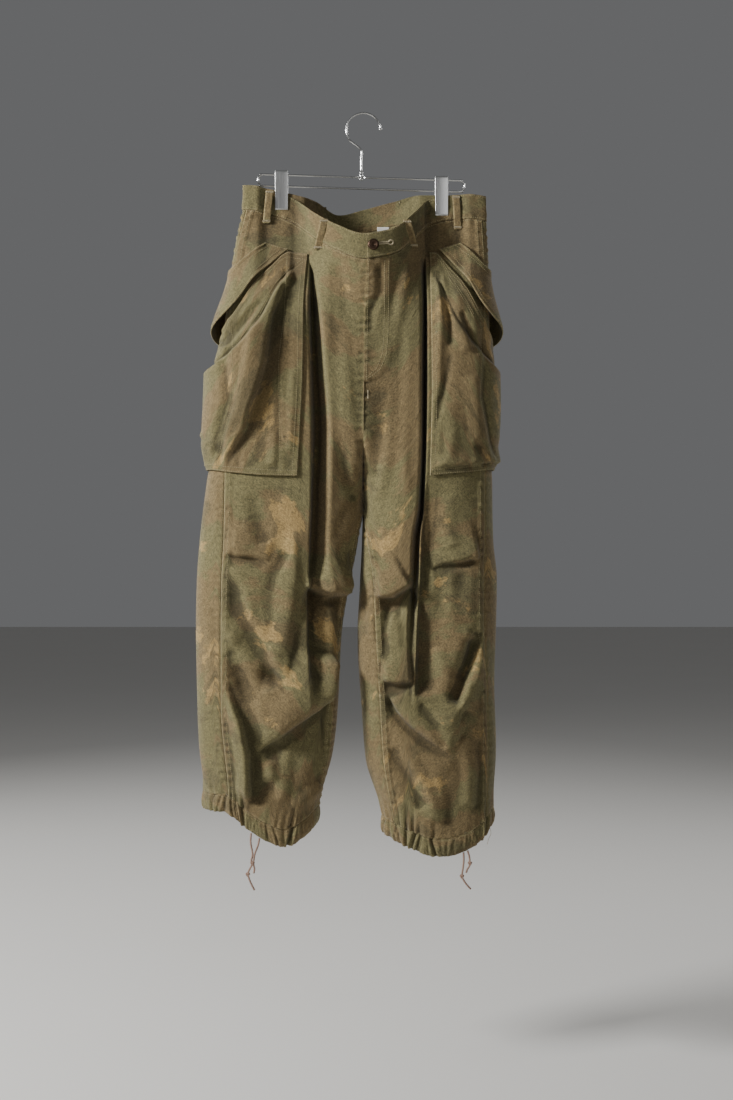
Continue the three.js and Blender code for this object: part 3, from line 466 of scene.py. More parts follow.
def crease_rise(creases, x, z, widen=1.0):
    """Sum of ridges and troughs. Each is its rise times an ease from its line to its flank's
    width. Its strength goes from start to end along the line and dies out at both tips."""
    total = np.zeros(np.broadcast(x, z).shape)
    for rise, left, right, start, end, path in creases:
        best = np.full(total.shape, 1e9)
        side = np.ones(total.shape)
        run = np.zeros(total.shape)
        for k, ((ax, az), (bx, bz)) in enumerate(zip(path[:-1], path[1:])):
            dx, dz = bx - ax, bz - az
            t = np.clip(((x - ax) * dx + (z - az) * dz) / (dx * dx + dz * dz), 0, 1)
            far = np.hypot(x - ax - t * dx, z - az - t * dz)
            closer = far < best
            best = np.where(closer, far, best)
            side = np.where(closer, dx * (z - az) - dz * (x - ax), side)
            run = np.where(closer, (k + t) / (len(path) - 1), run)
        flank = np.where(side >= 0, left, right) * widen
        ends = smooth(np.minimum(run, 1 - run) / 0.12 + 0.12)
        total += rise * (1 - smooth(best / flank)) * mix(start, end, run) * ends
    return total


def ridge_side(path, x, z):
    """How far (x, z) lies to the viewer's right of a downward line, minus to its left."""
    path = np.asarray(path, float)
    line_x = np.interp(-z, -path[:, 1], path[:, 0])
    slope = np.interp(-z, -(path[:-1, 1] + path[1:, 1]) / 2,
                      (path[1:, 0] - path[:-1, 0]) / (path[1:, 1] - path[:-1, 1]))
    return (x - line_x) / np.hypot(1, slope)


def billow(x, z, seed):
    """Uneven low waves of hung cloth: five slanted sines of wavelengths 46 to 150 mm, phases
    and slants drawn from the seed, mean size about 1."""
    draw = np.random.default_rng(seed)
    waves = np.array([46, 61, 83, 112, 150])
    total = 0
    for wave in waves:
        slant = draw.uniform(-0.35, 0.35)
        phase, bend = draw.uniform(0, 2 * math.pi, 2)
        across = x + slant * z + 9 * np.sin(z / 97 + bend)
        total = total + np.sin(2 * math.pi * across / wave + phase) * (wave / 110)
    return total / 2.2


class Leg:
    """One leg as a surface of level z and angle: 0 at the outer outline, minus to the front.
    A section is a superellipse of its level's half width and depths, squared off where the
    legs are joined. Rise lifts it along the section's own direction."""

    def __init__(self, name, side, seed):
        self.name, self.side, self.seed = name, side, seed
        self.table, self.hem = OUTLINES[name], HEMS[name]

    def read(self, column, z):
        return along(LEVELS, self.table[column], z)

    def level(self, z):
        """What a section needs to be drawn at level z."""
        z = np.asarray(z, float)
        outer, inner = self.read("outer", z), self.read("inner", z)
        return {"z": z, "inner": inner, "middle": (outer + inner) / 2, "half": abs(outer - inner) / 2,
                "joined": smooth((z - FORK_Z) / (FORK_TOP - FORK_Z)),
                "front": along(LEVELS, FRONT_DEPTH, z), "back": along(LEVELS, BACK_DEPTH, z),
                "power": along(LEVELS, SQUARE, z)}

    def angle_of(self, row, x):
        return np.arccos(np.clip((x - row["middle"]) / row["half"] * self.side, -1, 1))

    def drop(self, x, z, front):
        """Waist drape times its fade from the waist, plus hem drape times its fade to the hem."""
        waist = np.where(front, *[along(WAIST["x"], WAIST[key], x) for key in ("frontTop", "backTop")])
        hem = np.where(front, *[along(self.hem["x"], self.hem[key], x) for key in ("front", "back")])
        return ((waist - BAND_TALL - WAIST_Z) * smooth((z - WAIST_Z + WAIST_FADE) / WAIST_FADE)
                + (hem + CASING_TALL - CASING_Z) * smooth((CASING_Z + HEM_FADE - z) / HEM_FADE))

    def base(self, row, angle):
        """Section point, its outward direction in the level plane, and whether it is front."""
        s = np.cos(angle)
        front = np.sin(angle) < 0
        p = row["power"]
        arch = np.maximum(1 - np.abs(s) ** p, 0) ** (1 / p)
        inward = np.where(s < 0, row["joined"], 0)
        x = row["middle"] + row["half"] * s * self.side
        waist = np.where(front, *[along(WAIST["x"], WAIST[key], x) for key in ("frontDepth", "backDepth")])
        near = smooth((row["z"] - WAIST_Z + WAIST_FADE) / WAIST_FADE)
        depth = mix(np.where(front, row["front"], row["back"]), waist, near)
        face = np.where(front, -1, 1)
        nx = self.side * power(s, p - 1) / row["half"] * (1 - inward)
        ny = face * arch ** (p - 1) / np.maximum(depth, 8) + face * inward * 0.01
        z = row["z"] + self.drop(x, row["z"], front)
        point = np.stack([x, face * depth * mix(arch, 1, inward), z], -1)
        return point, unit(np.stack([nx, ny, 0 * nx], -1)), front

    def surface(self, row, angle, detail=0.0):
        """Section point lifted by the pleat (a sine valley from lip to edge that falls sheer at
        the lip), the folds and, by detail, the smaller creases and billows; calm near seams."""
        p, n, front = self.base(row, angle)
        seam, outseam = [self.angle_of(row, self.read(column, row["z"])) for column in ("seam", "outseam")]
        on_front = angle <= -outseam + 1e-6
        back_end = np.where(row["joined"] > 0, math.pi, 2 * math.pi - seam)
        to_seam = np.where(on_front, seam + angle, back_end - angle)
        to_seam = np.where(row["joined"] > 0.99, SEAM_CALM, to_seam)
        weight = smooth(np.minimum(to_seam, np.abs(angle + outseam)) / SEAM_CALM)
        lip, edge = self.read("lip", row["z"]), self.read("edge", row["z"])
        q = np.clip((p[..., 0] - lip) / (edge - lip), 0, 1)
        sheer = mix(0.55, 1.2, smooth((PLEAT_SOFT[self.name] - row["z"]) / 160))
        pleat = -self.read("recess", row["z"]) * np.sin(math.pi * q ** sheer) * (1 - q) ** 0.25 * PLEAT_GAIN
        pleat = pleat * smooth((PLEAT_TOP - row["z"]) / PLEAT_OPENS)
        pleat = pleat * smooth((row["z"] - PLEAT_END[self.name]) / PLEAT_FADE)
        deep = crease_rise(FOLDS[self.name], p[..., 0], p[..., 2]) * FOLD_GAIN
        if detail:
            deep = deep + crease_rise(HOLLOWS[self.name], p[..., 0], p[..., 2])
        rise = np.where(on_front, deep + pleat, 0)
        if detail:
            x, z = p[..., 0], p[..., 2]
            calm_top = smooth((-232 - z) / 60)
            under = smooth((np.abs(x) - 112) / 20) * smooth((-200 - z) / 30) * smooth((z + 590) / 30)
            small = 1.3 * crease_rise(CREASES[self.name], x, z, 1.6)
            small = (small + 1.5 * billow(x, z, self.seed) * calm_top) * (1 - under)
            rear = crease_rise(BACK_CREASES[self.name], x, z, 1.3)
            rear = (rear + 1.8 * billow(x, z, self.seed + 5) * calm_top) * (1 - under)
            rise = rise + detail * np.where(on_front, small, rear)
            rise = rise * smooth((row["z"] - CASING_Z) / 30)
        return p + n * (rise * weight)[..., None], n, front

    def level_at(self, x, height, front):
        """The level whose cloth lies at a true height at x, by repeated correction."""
        z = height
        for _ in range(6):
            z = height - self.drop(x, z, front)
        return self.level(z)

    def turn_at(self, way, row):
        """The angle that lies this far in from the outer outline; minus is the front."""
        return np.sign(way) * np.arccos(np.maximum(-1, 1 - np.abs(way) / row["half"]))

    def way_at(self, turn, row):
        return np.sign(turn) * row["half"] * (1 - np.cos(turn))

    def around(self, turn, height):
        """The surface at an angle and a true height."""
        row = self.level(height)
        for _ in range(4):
            x = row["middle"] + self.side * row["half"] * np.cos(turn)
            row = self.level_at(x, height, turn < 0)
        return self.surface(row, turn)

    def at_x(self, x, front, height):
        """The surface at x and a true height, on the front or the back."""
        row = self.level_at(x, height, front)
        return self.surface(row, (-1 if front else 1) * self.angle_of(row, x))

    def front_angles(self, row, steps=(CENTRE_STEPS, PLEAT_STEPS, OUTER_STEPS)):
        """Columns of the centre panel, the pleat and the outer panel, from the centre out."""
        at = {column: self.read(column, row["z"]) for column in ("seam", "edge", "lip", "outseam")}
        turn = {column: self.angle_of(row, x) for column, x in at.items()}
        centre, pleat, outer = [np.linspace(0, 1, n + 1) for n in steps]
        pleat = 1 - (1 - pleat) ** 1.8
        parts = [mix(turn["seam"], turn["edge"], centre),
                 self.angle_of(row, mix(at["edge"], at["lip"], pleat))[..., 1:],
                 mix(turn["lip"], turn["outseam"], outer)[..., 1:]]
        return -np.concatenate(parts, axis=-1)

    def back_angles(self, row, steps=BACK_STEPS):
        start = -self.angle_of(row, self.read("outseam", row["z"]))
        end = 2 * math.pi - self.angle_of(row, self.read("seam", row["z"]))
        return mix(start, np.where(row["joined"] > 0, math.pi, end), np.linspace(0, 1, steps + 1))


LEGS = {"right": Leg("right", -1, 11), "left": Leg("left", 1, 23)}


def grid_normals(points, wrap=False):
    """Cross product of the steps across and down at every grid point."""
    down = np.gradient(points, axis=0)
    across = (np.roll(points, -1, 1) - np.roll(points, 1, 1)) / 2 if wrap else np.gradient(points, axis=1)
    return unit(np.cross(across, down))


def outward(points, normals, middle):
    """Normals turned to point away from a middle point."""
    away = np.sum((points - middle) * normals)
    return normals if away > 0 else -normals


def arc(points, axis):
    """Distance run along an axis of a grid from its first line."""
    steps = np.linalg.norm(np.diff(points, axis=axis), axis=-1)
    pad = [(0, 0), (0, 0)]
    pad[axis] = (1, 0)
    return np.pad(np.cumsum(steps, axis=axis), pad)


def run_along(path):
    """Distance run along a line of points, at each of them."""
    return np.concatenate([[0], np.cumsum(np.linalg.norm(np.diff(path, axis=0), axis=-1))])


def read_along(at, run, values):
    """A line's values, one column each, at distances along it."""
    return np.stack([np.interp(at, run, column) for column in np.transpose(values)], -1)


def crest(points, normals, stride=2):
    """Signed bend of the cloth, -1 in a tight valley to 1 on a tight ridge: how far a point
    stands above the mean of its four neighbours a stride off, over their distance."""
    total = 0
    for axis in (0, 1):
        pad = [(0, 0)] * 3
        pad[axis] = (stride, stride)
        padded = np.pad(points, pad, mode="edge")
        ahead = np.take(padded, np.arange(points.shape[axis]) + 2 * stride, axis)
        behind = np.take(padded, np.arange(points.shape[axis]), axis)
        gap = np.linalg.norm(ahead - behind, axis=-1) + 1e-6
        total = total + np.sum((points - (ahead + behind) / 2) * normals, -1) / gap
    return np.clip(total * 5, -1, 1)


def quads(rows, columns, wrap=False):
    """Corner numbers of every cell of a grid."""
    i = np.arange(rows - 1)[:, None]
    j = np.arange(columns if wrap else columns - 1)[None]
    k = (j + 1) % columns
    cells = [i * columns + j, i * columns + k, (i + 1) * columns + k, (i + 1) * columns + j]
    return np.stack(np.broadcast_arrays(*cells), -1).reshape(-1, 4)


# ---------------------------------------------------------------- meshes
def placed(name, data):
    """An object of this data, linked to the scene."""
    made = bpy.data.objects.new(name, data)
    bpy.context.scene.collection.objects.link(made)
    return made


def solid(name, points, faces, material, uv=None, shade=None):
    """A mesh object at the origin from points in millimetres, turned so its faces point out."""
    points = np.asarray(points, float).reshape(-1, 3)
    faces = np.asarray(faces)
    a, b, c = points[faces[:, 0]], points[faces[:, 1]], points[faces[:, 2]]
    volume = np.sum(a * np.cross(b, c))
    if faces.shape[1] == 4:
        volume += np.sum(a * np.cross(c, points[faces[:, 3]]))
    if volume < 0:
        faces = faces[:, ::-1]
    mesh = bpy.data.meshes.new(name)
    mesh.vertices.add(len(points))
    mesh.vertices.foreach_set("co", (points * MM).ravel())
    size = faces.shape[1]
    mesh.loops.add(faces.size)
    mesh.loops.foreach_set("vertex_index", faces.ravel())
    mesh.polygons.add(len(faces))
    mesh.polygons.foreach_set("loop_start", np.arange(len(faces)) * size)
    mesh.polygons.foreach_set("loop_total", np.full(len(faces), size))
    mesh.update(calc_edges=True)
    mesh.polygons.foreach_set("use_smooth", np.ones(len(faces), bool))
    if uv is not None:
        layer = mesh.uv_layers.new(name="cloth")
        layer.data.foreach_set("uv", (uv.reshape(-1, 2)[faces.ravel()] * MM).ravel())
    if shade is not None:
        mesh.attributes.new("crest", "FLOAT", "POINT").data.foreach_set("value", shade.ravel())
    mesh.materials.append(material)
    mesh.validate()
    piece = placed(name, mesh)
    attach(piece, "root")
    return piece


def declared(piece, slot, *nodes):
    """Lets a piece stand for its solids by hiding them; the slot is not used."""
    if nodes:
        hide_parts(*nodes)
    return piece


def wall(name, points, normals, thick, material, uv, shade, wrap=False):
    """A closed cloth wall: a grid, the same grid moved in by its thickness, and their rims."""
    rows, columns = points.shape[:2]
    count = rows * columns
    face = quads(rows, columns, wrap)
    index = np.arange(count).reshape(rows, columns)
    ring = np.arange(columns if wrap else columns - 1)
    after = (ring + 1) % columns
    edges = [(index[0, after], index[0, ring]), (index[-1, ring], index[-1, after])]
    if not wrap:
        edges += [(index[:-1, 0], index[1:, 0]), (index[1:, -1], index[:-1, -1])]
    rims = [np.stack([a, b, b + count, a + count], -1) for a, b in edges]
    both = np.concatenate([points.reshape(-1, 3), (points - normals * thick).reshape(-1, 3)])
    # The inner face is a little deeper in shade
    shades = np.concatenate([shade.ravel(), np.full(count, -0.2)])
    return solid(name, both, np.concatenate([face, face[:, ::-1] + count] + rims), material,
                 np.concatenate([uv.reshape(-1, 2)] * 2), shades)


def flat_map(points, offset, turn=0.0):
    """Cloth coordinates of a grid in millimetres: distance run across and down, turned to the
    piece's grain and moved to its own place on the cloth."""
    u, v = arc(points, 1), arc(points, 0)
    u = u - u.mean(axis=1, keepdims=True)
    c, s = math.cos(turn), math.sin(turn)
    return np.stack([u * c - v * s + offset[0], u * s + v * c + offset[1]], -1)


def capped(rings, foot, head):
    """A tube of rings, closed with a fan at both ends. Fans as quads would be degenerate, so
    every face is a triangle."""
    rows, columns = rings.shape[:2]
    j = np.arange(columns)
    k = (j + 1) % columns
    tip, last = np.full(columns, rows * columns), (rows - 1) * columns
    sides = quads(rows, columns, True)
    return (np.concatenate([rings.reshape(-1, 3), [foot, head]]),
            np.concatenate([sides[:, [0, 1, 2]], sides[:, [0, 2, 3]], np.stack([k, j, tip], -1),
                            np.stack([last + j, last + k, tip + 1], -1)]))


def sweep(path, section, width_way):
    """A section (width, height) carried along a path. Width lies along the given way made
    square to the path."""
    path = np.asarray(path, float)
    ahead = unit(np.gradient(path, axis=0))
    way = np.broadcast_to(np.asarray(width_way, float), path.shape)
    way = unit(way - ahead * np.sum(way * ahead, -1, keepdims=True))
    high = np.cross(ahead, way)
    rings = path[:, None] + section[..., :1] * way[:, None] + section[..., 1:] * high[:, None]
    return capped(rings, path[0], path[-1])


def circle(radius, count):
    a = np.linspace(0, 2 * math.pi, count, endpoint=False)
    return np.stack([np.cos(a), np.sin(a)], -1) * radius


def curve_through(points, count):
    """Catmull-Rom curve through points: count places, evenly by parameter."""
    p = np.asarray(points, float)
    p = np.concatenate([[2 * p[0] - p[1]], p, [2 * p[-1] - p[-2]]])
    t = np.linspace(0, len(p) - 3, count)
    i = np.minimum(t.astype(int), len(p) - 4)
    f = (t - i)[:, None]
    a, b, c, d = p[i], p[i + 1], p[i + 2], p[i + 3]
    return 0.5 * (2 * b + (c - a) * f + (2 * a - 5 * b + 4 * c - d) * f ** 2
                  + (3 * b - a - 3 * c + d) * f ** 3)


def lathe(profile, count):
    """A profile (radius, height) turned about z; its first and last radius are 0."""
    profile = np.asarray(profile, float)
    rings = profile[1:-1, None]
    heights = np.broadcast_to(rings[..., 1:], (len(rings), count, 1))
    return capped(np.concatenate([rings[..., :1] * circle(1, count), heights], -1),
                  (0, 0, profile[0, 1]), (0, 0, profile[-1, 1]))


# A stitch: a ring of four at each end and two tips, in shares of its length, width and height
STITCH = np.array([(-.5, 0, -.1), (-.25, -.5, 0), (-.25, 0, .5), (-.25, .5, 0), (-.25, 0, -.4),
                   (.25, -.5, 0), (.25, 0, .5), (.25, .5, 0), (.25, 0, -.4), (.5, 0, -.1)])
STITCH_TIPS = [(0, 2, 1), (0, 3, 2), (0, 4, 3), (0, 1, 4), (9, 5, 6), (9, 6, 7), (9, 7, 8), (9, 8, 5)]
STITCH_SIDES = [face for a, b in ((1, 2), (2, 3), (3, 4), (4, 1))
                for face in ((a, b, b + 4), (a, b + 4, a + 4))]
STITCH_FACES = np.array(STITCH_TIPS + STITCH_SIDES)


def stitch_run(path, normals, pitch, long, wide):
    """Thread stitches on a line: at each pitch one stitch, stretched along the line."""
    run = run_along(path)
    at = np.arange(pitch / 2, run[-1], pitch)
    centre, up, ahead = [read_along(at, run, line) for line in (path, normals, np.gradient(path, axis=0))]
    up, ahead = unit(up), unit(ahead)
    ways = np.stack([ahead * long, unit(np.cross(ahead, up)) * wide, up * wide], 1)
    faces = STITCH_FACES[None] + (np.arange(len(at)) * len(STITCH))[:, None, None]
    return (centre[:, None] + STITCH @ ways).reshape(-1, 3), faces.reshape(-1, 3)


def joined(parts):
    """Several (points, faces) made one."""
    start, points, faces = 0, [], []
    for p, f in parts:
        points.append(p)
        faces.append(np.asarray(f) + start)
        start += len(p)
    return np.concatenate(points), np.concatenate(faces)


# ---------------------------------------------------------------- materials
def linear(code):
    """An sRGB hex colour as linear red, green, blue."""
    value = np.array([int(code[k:k + 2], 16) / 255 for k in (1, 3, 5)])
    low = value / 12.92
    high = ((value + 0.055) / 1.055) ** 2.4
    return tuple(np.where(value <= 0.04045, low, high))


def node(tree, kind, sockets=(), stops=(), **settings):
    """Adds a node, sets its properties and ramp stops, and links or sets its inputs."""
    made = tree.nodes.new(kind)
    for key, value in settings.items():
        setattr(made, key, value)
    for element, (place, shade) in zip(made.color_ramp.elements if stops else (), stops):
        element.position, element.color = place, (*shade, 1)
    for key, value in dict(sockets).items():
        if isinstance(value, bpy.types.NodeSocket):
            tree.links.new(value, made.inputs[key])
        else:
            colour = made.inputs[key].type == "RGBA"
            made.inputs[key].default_value = (*value, 1) if colour else value
    return made


def new_material(name, **sockets):
    """A material with its shader's own sockets set."""
    material = bpy.data.materials.new(name)
    material.use_nodes = True
    shader = material.node_tree.nodes["Principled BSDF"]
    for socket, value in sockets.items():
        shader.inputs[socket.replace("_", " ")].default_value = value
    return material, material.node_tree, shader


def patches(tree, vector, scale, low, high, detail, rough, warp):
    """Soft-edged patches where a noise passes from low to high."""
    noise = node(tree, "ShaderNodeTexNoise", {"Vector": vector, "Scale": scale, "Detail": detail,
                                              "Roughness": rough, "Distortion": warp})
    limits = {"Value": noise.outputs["Fac"], "From Min": low, "From Max": high}
    return node(tree, "ShaderNodeMapRange", limits, interpolation_type="SMOOTHSTEP").outputs["Result"]


def blended(tree, share, first, second, **settings):
    """Two colours mixed by a share."""
    sockets = {0: share, 6: first, 7: second}
    return node(tree, "ShaderNodeMix", sockets, data_type="RGBA", **settings).outputs[2]


def product(tree, a, b):
    return node(tree, "ShaderNodeMath", {0: a, 1: b}, operation="MULTIPLY").outputs[0]


def bands(spacing):
    """Scale of a wave texture whose bands lie a spacing in millimetres apart."""
    return 2 * math.pi / (20 * spacing * MM)


# The print's layers: colour, strength, scale, edge from and to, detail, roughness, warp,
# and how each is squeezed and moved. They lie along the weft, so the warp way is squeezed
PRINT = [("brown", 1, 7.0, 0.475, 0.525, 5.0, 0.58, 0.15, (1.0, 1.55, 1.0), (0, 0, 0)),
         ("dark", 0.55, 8.5, 0.565, 0.61, 5.0, 0.58, 0.1, (1.0, 1.4, 1.0), (3.1, 7.7, 1.9)),
         ("tan", 0.72, 8.5, 0.605, 0.64, 5.0, 0.6, 0.1, (1.2, 1.6, 1.0), (9.3, 2.2, 5.4))]


def cotton_drill(colours):
    """Washed cotton drill, printed with faded soft blotches: matte, pale where folds and seams
    have rubbed, darkened by painted shade in its valleys, with a fine slanting twill line.
    Blotches are 30 to 90 mm."""
    material, tree, shader = new_material("washed cotton drill", Roughness=0.92, Sheen_Weight=0.12,
                                          Sheen_Roughness=0.5, Specular_IOR_Level=0.18)
    uv = node(tree, "ShaderNodeUVMap", uv_map="cloth").outputs["UV"]
    colour = tuple(colours.green)
    for name, strength, *blotch, squeeze, moved in PRINT:
        place = node(tree, "ShaderNodeMapping", {"Vector": uv, "Scale": squeeze, "Location": moved})
        share = patches(tree, place.outputs[0], *blotch)
        if strength < 1:
            share = product(tree, share, strength)
        colour = blended(tree, share, colour, tuple(getattr(colours, name)))
    # Washing has mottled the print at 3 to 10 mm. The twill's grain is 0.6 mm on the real
    # cloth; it is drawn at 2 mm so that it shows
    for grain, low, high in (((120.0, 5.0, 0.62), (0.28, (0.78, 0.78, 0.78)), (0.72, (1.2, 1.2, 1.2))),
                             ((360.0, 4.0, 0.8), (0.34, (0.5, 0.52, 0.55)), (0.66, (1.5, 1.48, 1.42)))):
        noise = node(tree, "ShaderNodeTexNoise", {"Vector": uv, "Scale": grain[0], "Detail": grain[1],
                                                  "Roughness": grain[2]})
        ramp = node(tree, "ShaderNodeValToRGB", {"Fac": noise.outputs["Fac"]}, stops=(low, high))
        colour = blended(tree, 1.0, colour, ramp.outputs["Color"], blend_type="MULTIPLY")
    # Rubbed pale on ridges and seam edges; painted shade darkens the valleys
    bend = node(tree, "ShaderNodeAttribute", attribute_name="crest").outputs["Fac"]
    broken = patches(tree, uv, 210.0, 0.3, 0.62, 3.0, 0.5, 0.0)
    ridge = node(tree, "ShaderNodeMapRange", {"Value": bend, "From Min": 0.2, "From Max": 0.95})
    rubbed = product(tree, product(tree, ridge.outputs["Result"], broken), 0.62)
    painted_valley_shade = node(tree, "ShaderNodeMapRange", {"Value": bend, "From Min": -0.04, "From Max": -0.6,
                                               "To Max": 0.5})
    for share, tone in ((rubbed, colours.worn), (painted_valley_shade.outputs["Result"], colours.deep)):
        colour = blended(tree, share, colour, tuple(tone))
    tree.links.new(colour, shader.inputs["Base Color"])
    # Twill lines are 0.6 mm apart on the real cloth; drawn at 2.2 mm so that they show
    slant = node(tree, "ShaderNodeMapping", {"Vector": uv, "Rotation": (0, 0, math.radians(63))})
    twill = node(tree, "ShaderNodeTexWave", {"Vector": slant.outputs[0], "Scale": bands(2.2),
                                             "Distortion": 2.5, "Detail": 2.0}, wave_type="BANDS")
    fuzz = node(tree, "ShaderNodeTexNoise", {"Vector": uv, "Scale": 900.0, "Detail": 4.0, "Roughness": 0.7})
    height = node(tree, "ShaderNodeMath", {0: twill.outputs["Fac"], 1: fuzz.outputs["Fac"]}, operation="ADD")
    fine = node(tree, "ShaderNodeBump", {"Height": height.outputs[0], "Strength": 0.5, "Distance": 0.0005})
    crumple = node(tree, "ShaderNodeTexNoise", {"Vector": uv, "Scale": 42.0, "Detail": 4.0,
                                                "Roughness": 0.55, "Distortion": 0.8})
    bump = node(tree, "ShaderNodeBump", {"Height": crumple.outputs["Fac"], "Strength": 0.45,
                                         "Normal": fine.outputs["Normal"], "Distance": 0.004})
    tree.links.new(bump.outputs["Normal"], shader.inputs["Normal"])
    return material


def textured(name, colour, shares, texture, kind="ShaderNodeTexNoise", gloss=(), stretch=(), fuzz=(),
             settings=(), **sockets):
    """A finish whose colour runs between two shares of its own with a texture in Object
    coordinates. Gloss is the roughness range that follows the texture, stretch scales its
    axes, and fuzz is a fine bump's scale, detail, strength and depth."""
    material, tree, shader = new_material(name, **sockets)
    place = spot = node(tree, "ShaderNodeTexCoord").outputs["Object"]
    if stretch:
        spot = node(tree, "ShaderNodeMapping", {"Vector": place, "Scale": stretch}).outputs[0]
    share = node(tree, kind, {"Vector": spot, **texture}, **dict(settings)).outputs["Fac"]
    if gloss:
        sheen = node(tree, "ShaderNodeMapRange", {"Value": share, "To Min": gloss[0], "To Max": gloss[1]})
        tree.links.new(sheen.outputs["Result"], shader.inputs["Roughness"])
    low, high = [tuple(min(1, v * part) for v in colour) for part in shares]
    tree.links.new(blended(tree, share, low, high), shader.inputs["Base Color"])
    if fuzz:
        noise = node(tree, "ShaderNodeTexNoise", {"Vector": place, "Scale": fuzz[0], "Detail": fuzz[1]})
        bump = node(tree, "ShaderNodeBump", {"Height": noise.outputs["Fac"], "Strength": fuzz[2],
                                             "Distance": fuzz[3]})
        tree.links.new(bump.outputs["Normal"], shader.inputs["Normal"])
    return material


# Each finish: its real name, its colour setting, and what textured makes of it
THREAD = {"shares": (0.72, 1.25), "texture": {"Scale": 240.0, "Detail": 2.0}, "Roughness": 0.85,
          "Sheen_Weight": 0.1}
STEEL = {"shares": (0.9, 1), "texture": {"Scale": 900.0, "Detail": 3.0, "Roughness": 0.6}, "Metallic": 1.0}
FINISHES = {
    # Spun cotton: matte, its twist shown as fine bands
    "thread": ("khaki sewing thread", "thread", THREAD),
    "pale_thread": ("pale sewing thread", "pale_thread", THREAD),
    # Braided cotton: matte and slightly furry
    "cord": ("faded cotton cord", "cord", {
        "shares": (0.6, 1.35), "texture": {"Scale": 130.0, "Detail": 4.0},
        "fuzz": (1600.0, 3.0, 0.4, 0.0003), "Roughness": 0.9, "Sheen_Weight": 0.25, "Sheen_Roughness": 0.4}),
    # Plated wire, bright, with faint handling marks in its gloss
    "steel": ("polished plated steel", "steel", {
        **STEEL, "gloss": (0.16 * 0.7, 0.16 * 1.4), "stretch": (1, 1, 1)}),
    # Plated sheet, brushed along its length
    "clip": ("satin plated steel", "steel", {
        **STEEL, "gloss": (0.3 * 0.7, 0.3 * 1.4), "stretch": (1, 1, 0.05)}),
    # Copper plate, browned in its hollows
    "copper": ("aged copper", "copper", {
        "shares": (0.45, 1), "texture": {"Scale": 420.0, "Detail": 5.0}, "gloss": (0.25, 0.6),
        "Metallic": 1.0, "Roughness": 0.38}),
    # Woven tape with a fine cross weave, 1.2 mm apart
    "label": ("woven tape", "label", {
        "shares": (0.88, 1), "texture": {"Scale": bands(1.2), "Distortion": 0.4},
        "kind": "ShaderNodeTexWave", "settings": {"wave_type": "BANDS", "bands_direction": "Z"},
        "Roughness": 0.85}),
    # Smooth pale paint
    "floor": ("painted floor", "floor", {
        "shares": (0.97, 1), "texture": {"Scale": 2.0, "Detail": 3.0}, "Roughness": 0.8}),
}
MATERIALS = {}


def material(name):
    """The named material, made at its first use from the scene's colours."""
    colours = bpy.context.scene.garment_colours
    if name not in MATERIALS:
        if name == "cloth":
            MATERIALS[name] = cotton_drill(colours)
        else:
            title, setting, finish = FINISHES[name]
            MATERIALS[name] = textured(title, tuple(getattr(colours, setting)), **finish)
    return MATERIALS[name]


# ---------------------------------------------------------------- cloth grids
GRIDS = {}


def edge_rows(leg, level):
    """Points of a leg's front and of its back at one level, each with its ways out."""
    row = leg.level(np.array([[level]], float))
    parts = [leg.base(row, angles) for angles in (leg.front_angles(row), leg.back_angles(row))]
    return [(points[0], ways[0]) for points, ways, _ in parts]


def perimeter_share(leg):
    """Share of the hem's length at each column of the front's and the back's lowest row."""
    (front, _), (back, _) = edge_rows(leg, CASING_Z)
    run = run_along(np.concatenate([front, back[1:]]))
    share = run / run[-1]
    return share[:len(front)], share[len(front) - 1:]


def pucker(leg, share, x, front):
    """Uneven hem gathers: six rows of round folds with sharp hollows between them, 10 to 58
    round the leg, each with its own drift, stronger where the drawcord has drawn the cloth up."""
    draw = np.random.default_rng(leg.seed)
    turn = share * 2 * math.pi
    waves = 0
    for count, size in ((5, 0.5), (9, 0.8), (GATHERS, 1.0), (13, 1.2), (19, 1.0), (29, 0.5)):
        phase, drift = draw.uniform(0, 2 * math.pi, 2)
        fold = np.abs(np.sin(turn * count + phase + 1.2 * np.sin(turn * 3 + drift)))
        waves = waves + size * (2 * fold ** 0.7 - 1.45)
    waves = waves * GATHER_RISE / 2.4
    spots = [(-205, 30), (-118, 22)] if leg.name == "right" else [(80, 34), (184, 18)]
    strong = sum(hump(x, at, wide) for at, wide in spots)
    return waves * np.where(front, 0.25 + 1.6 * np.minimum(strong, 1), 0.8)


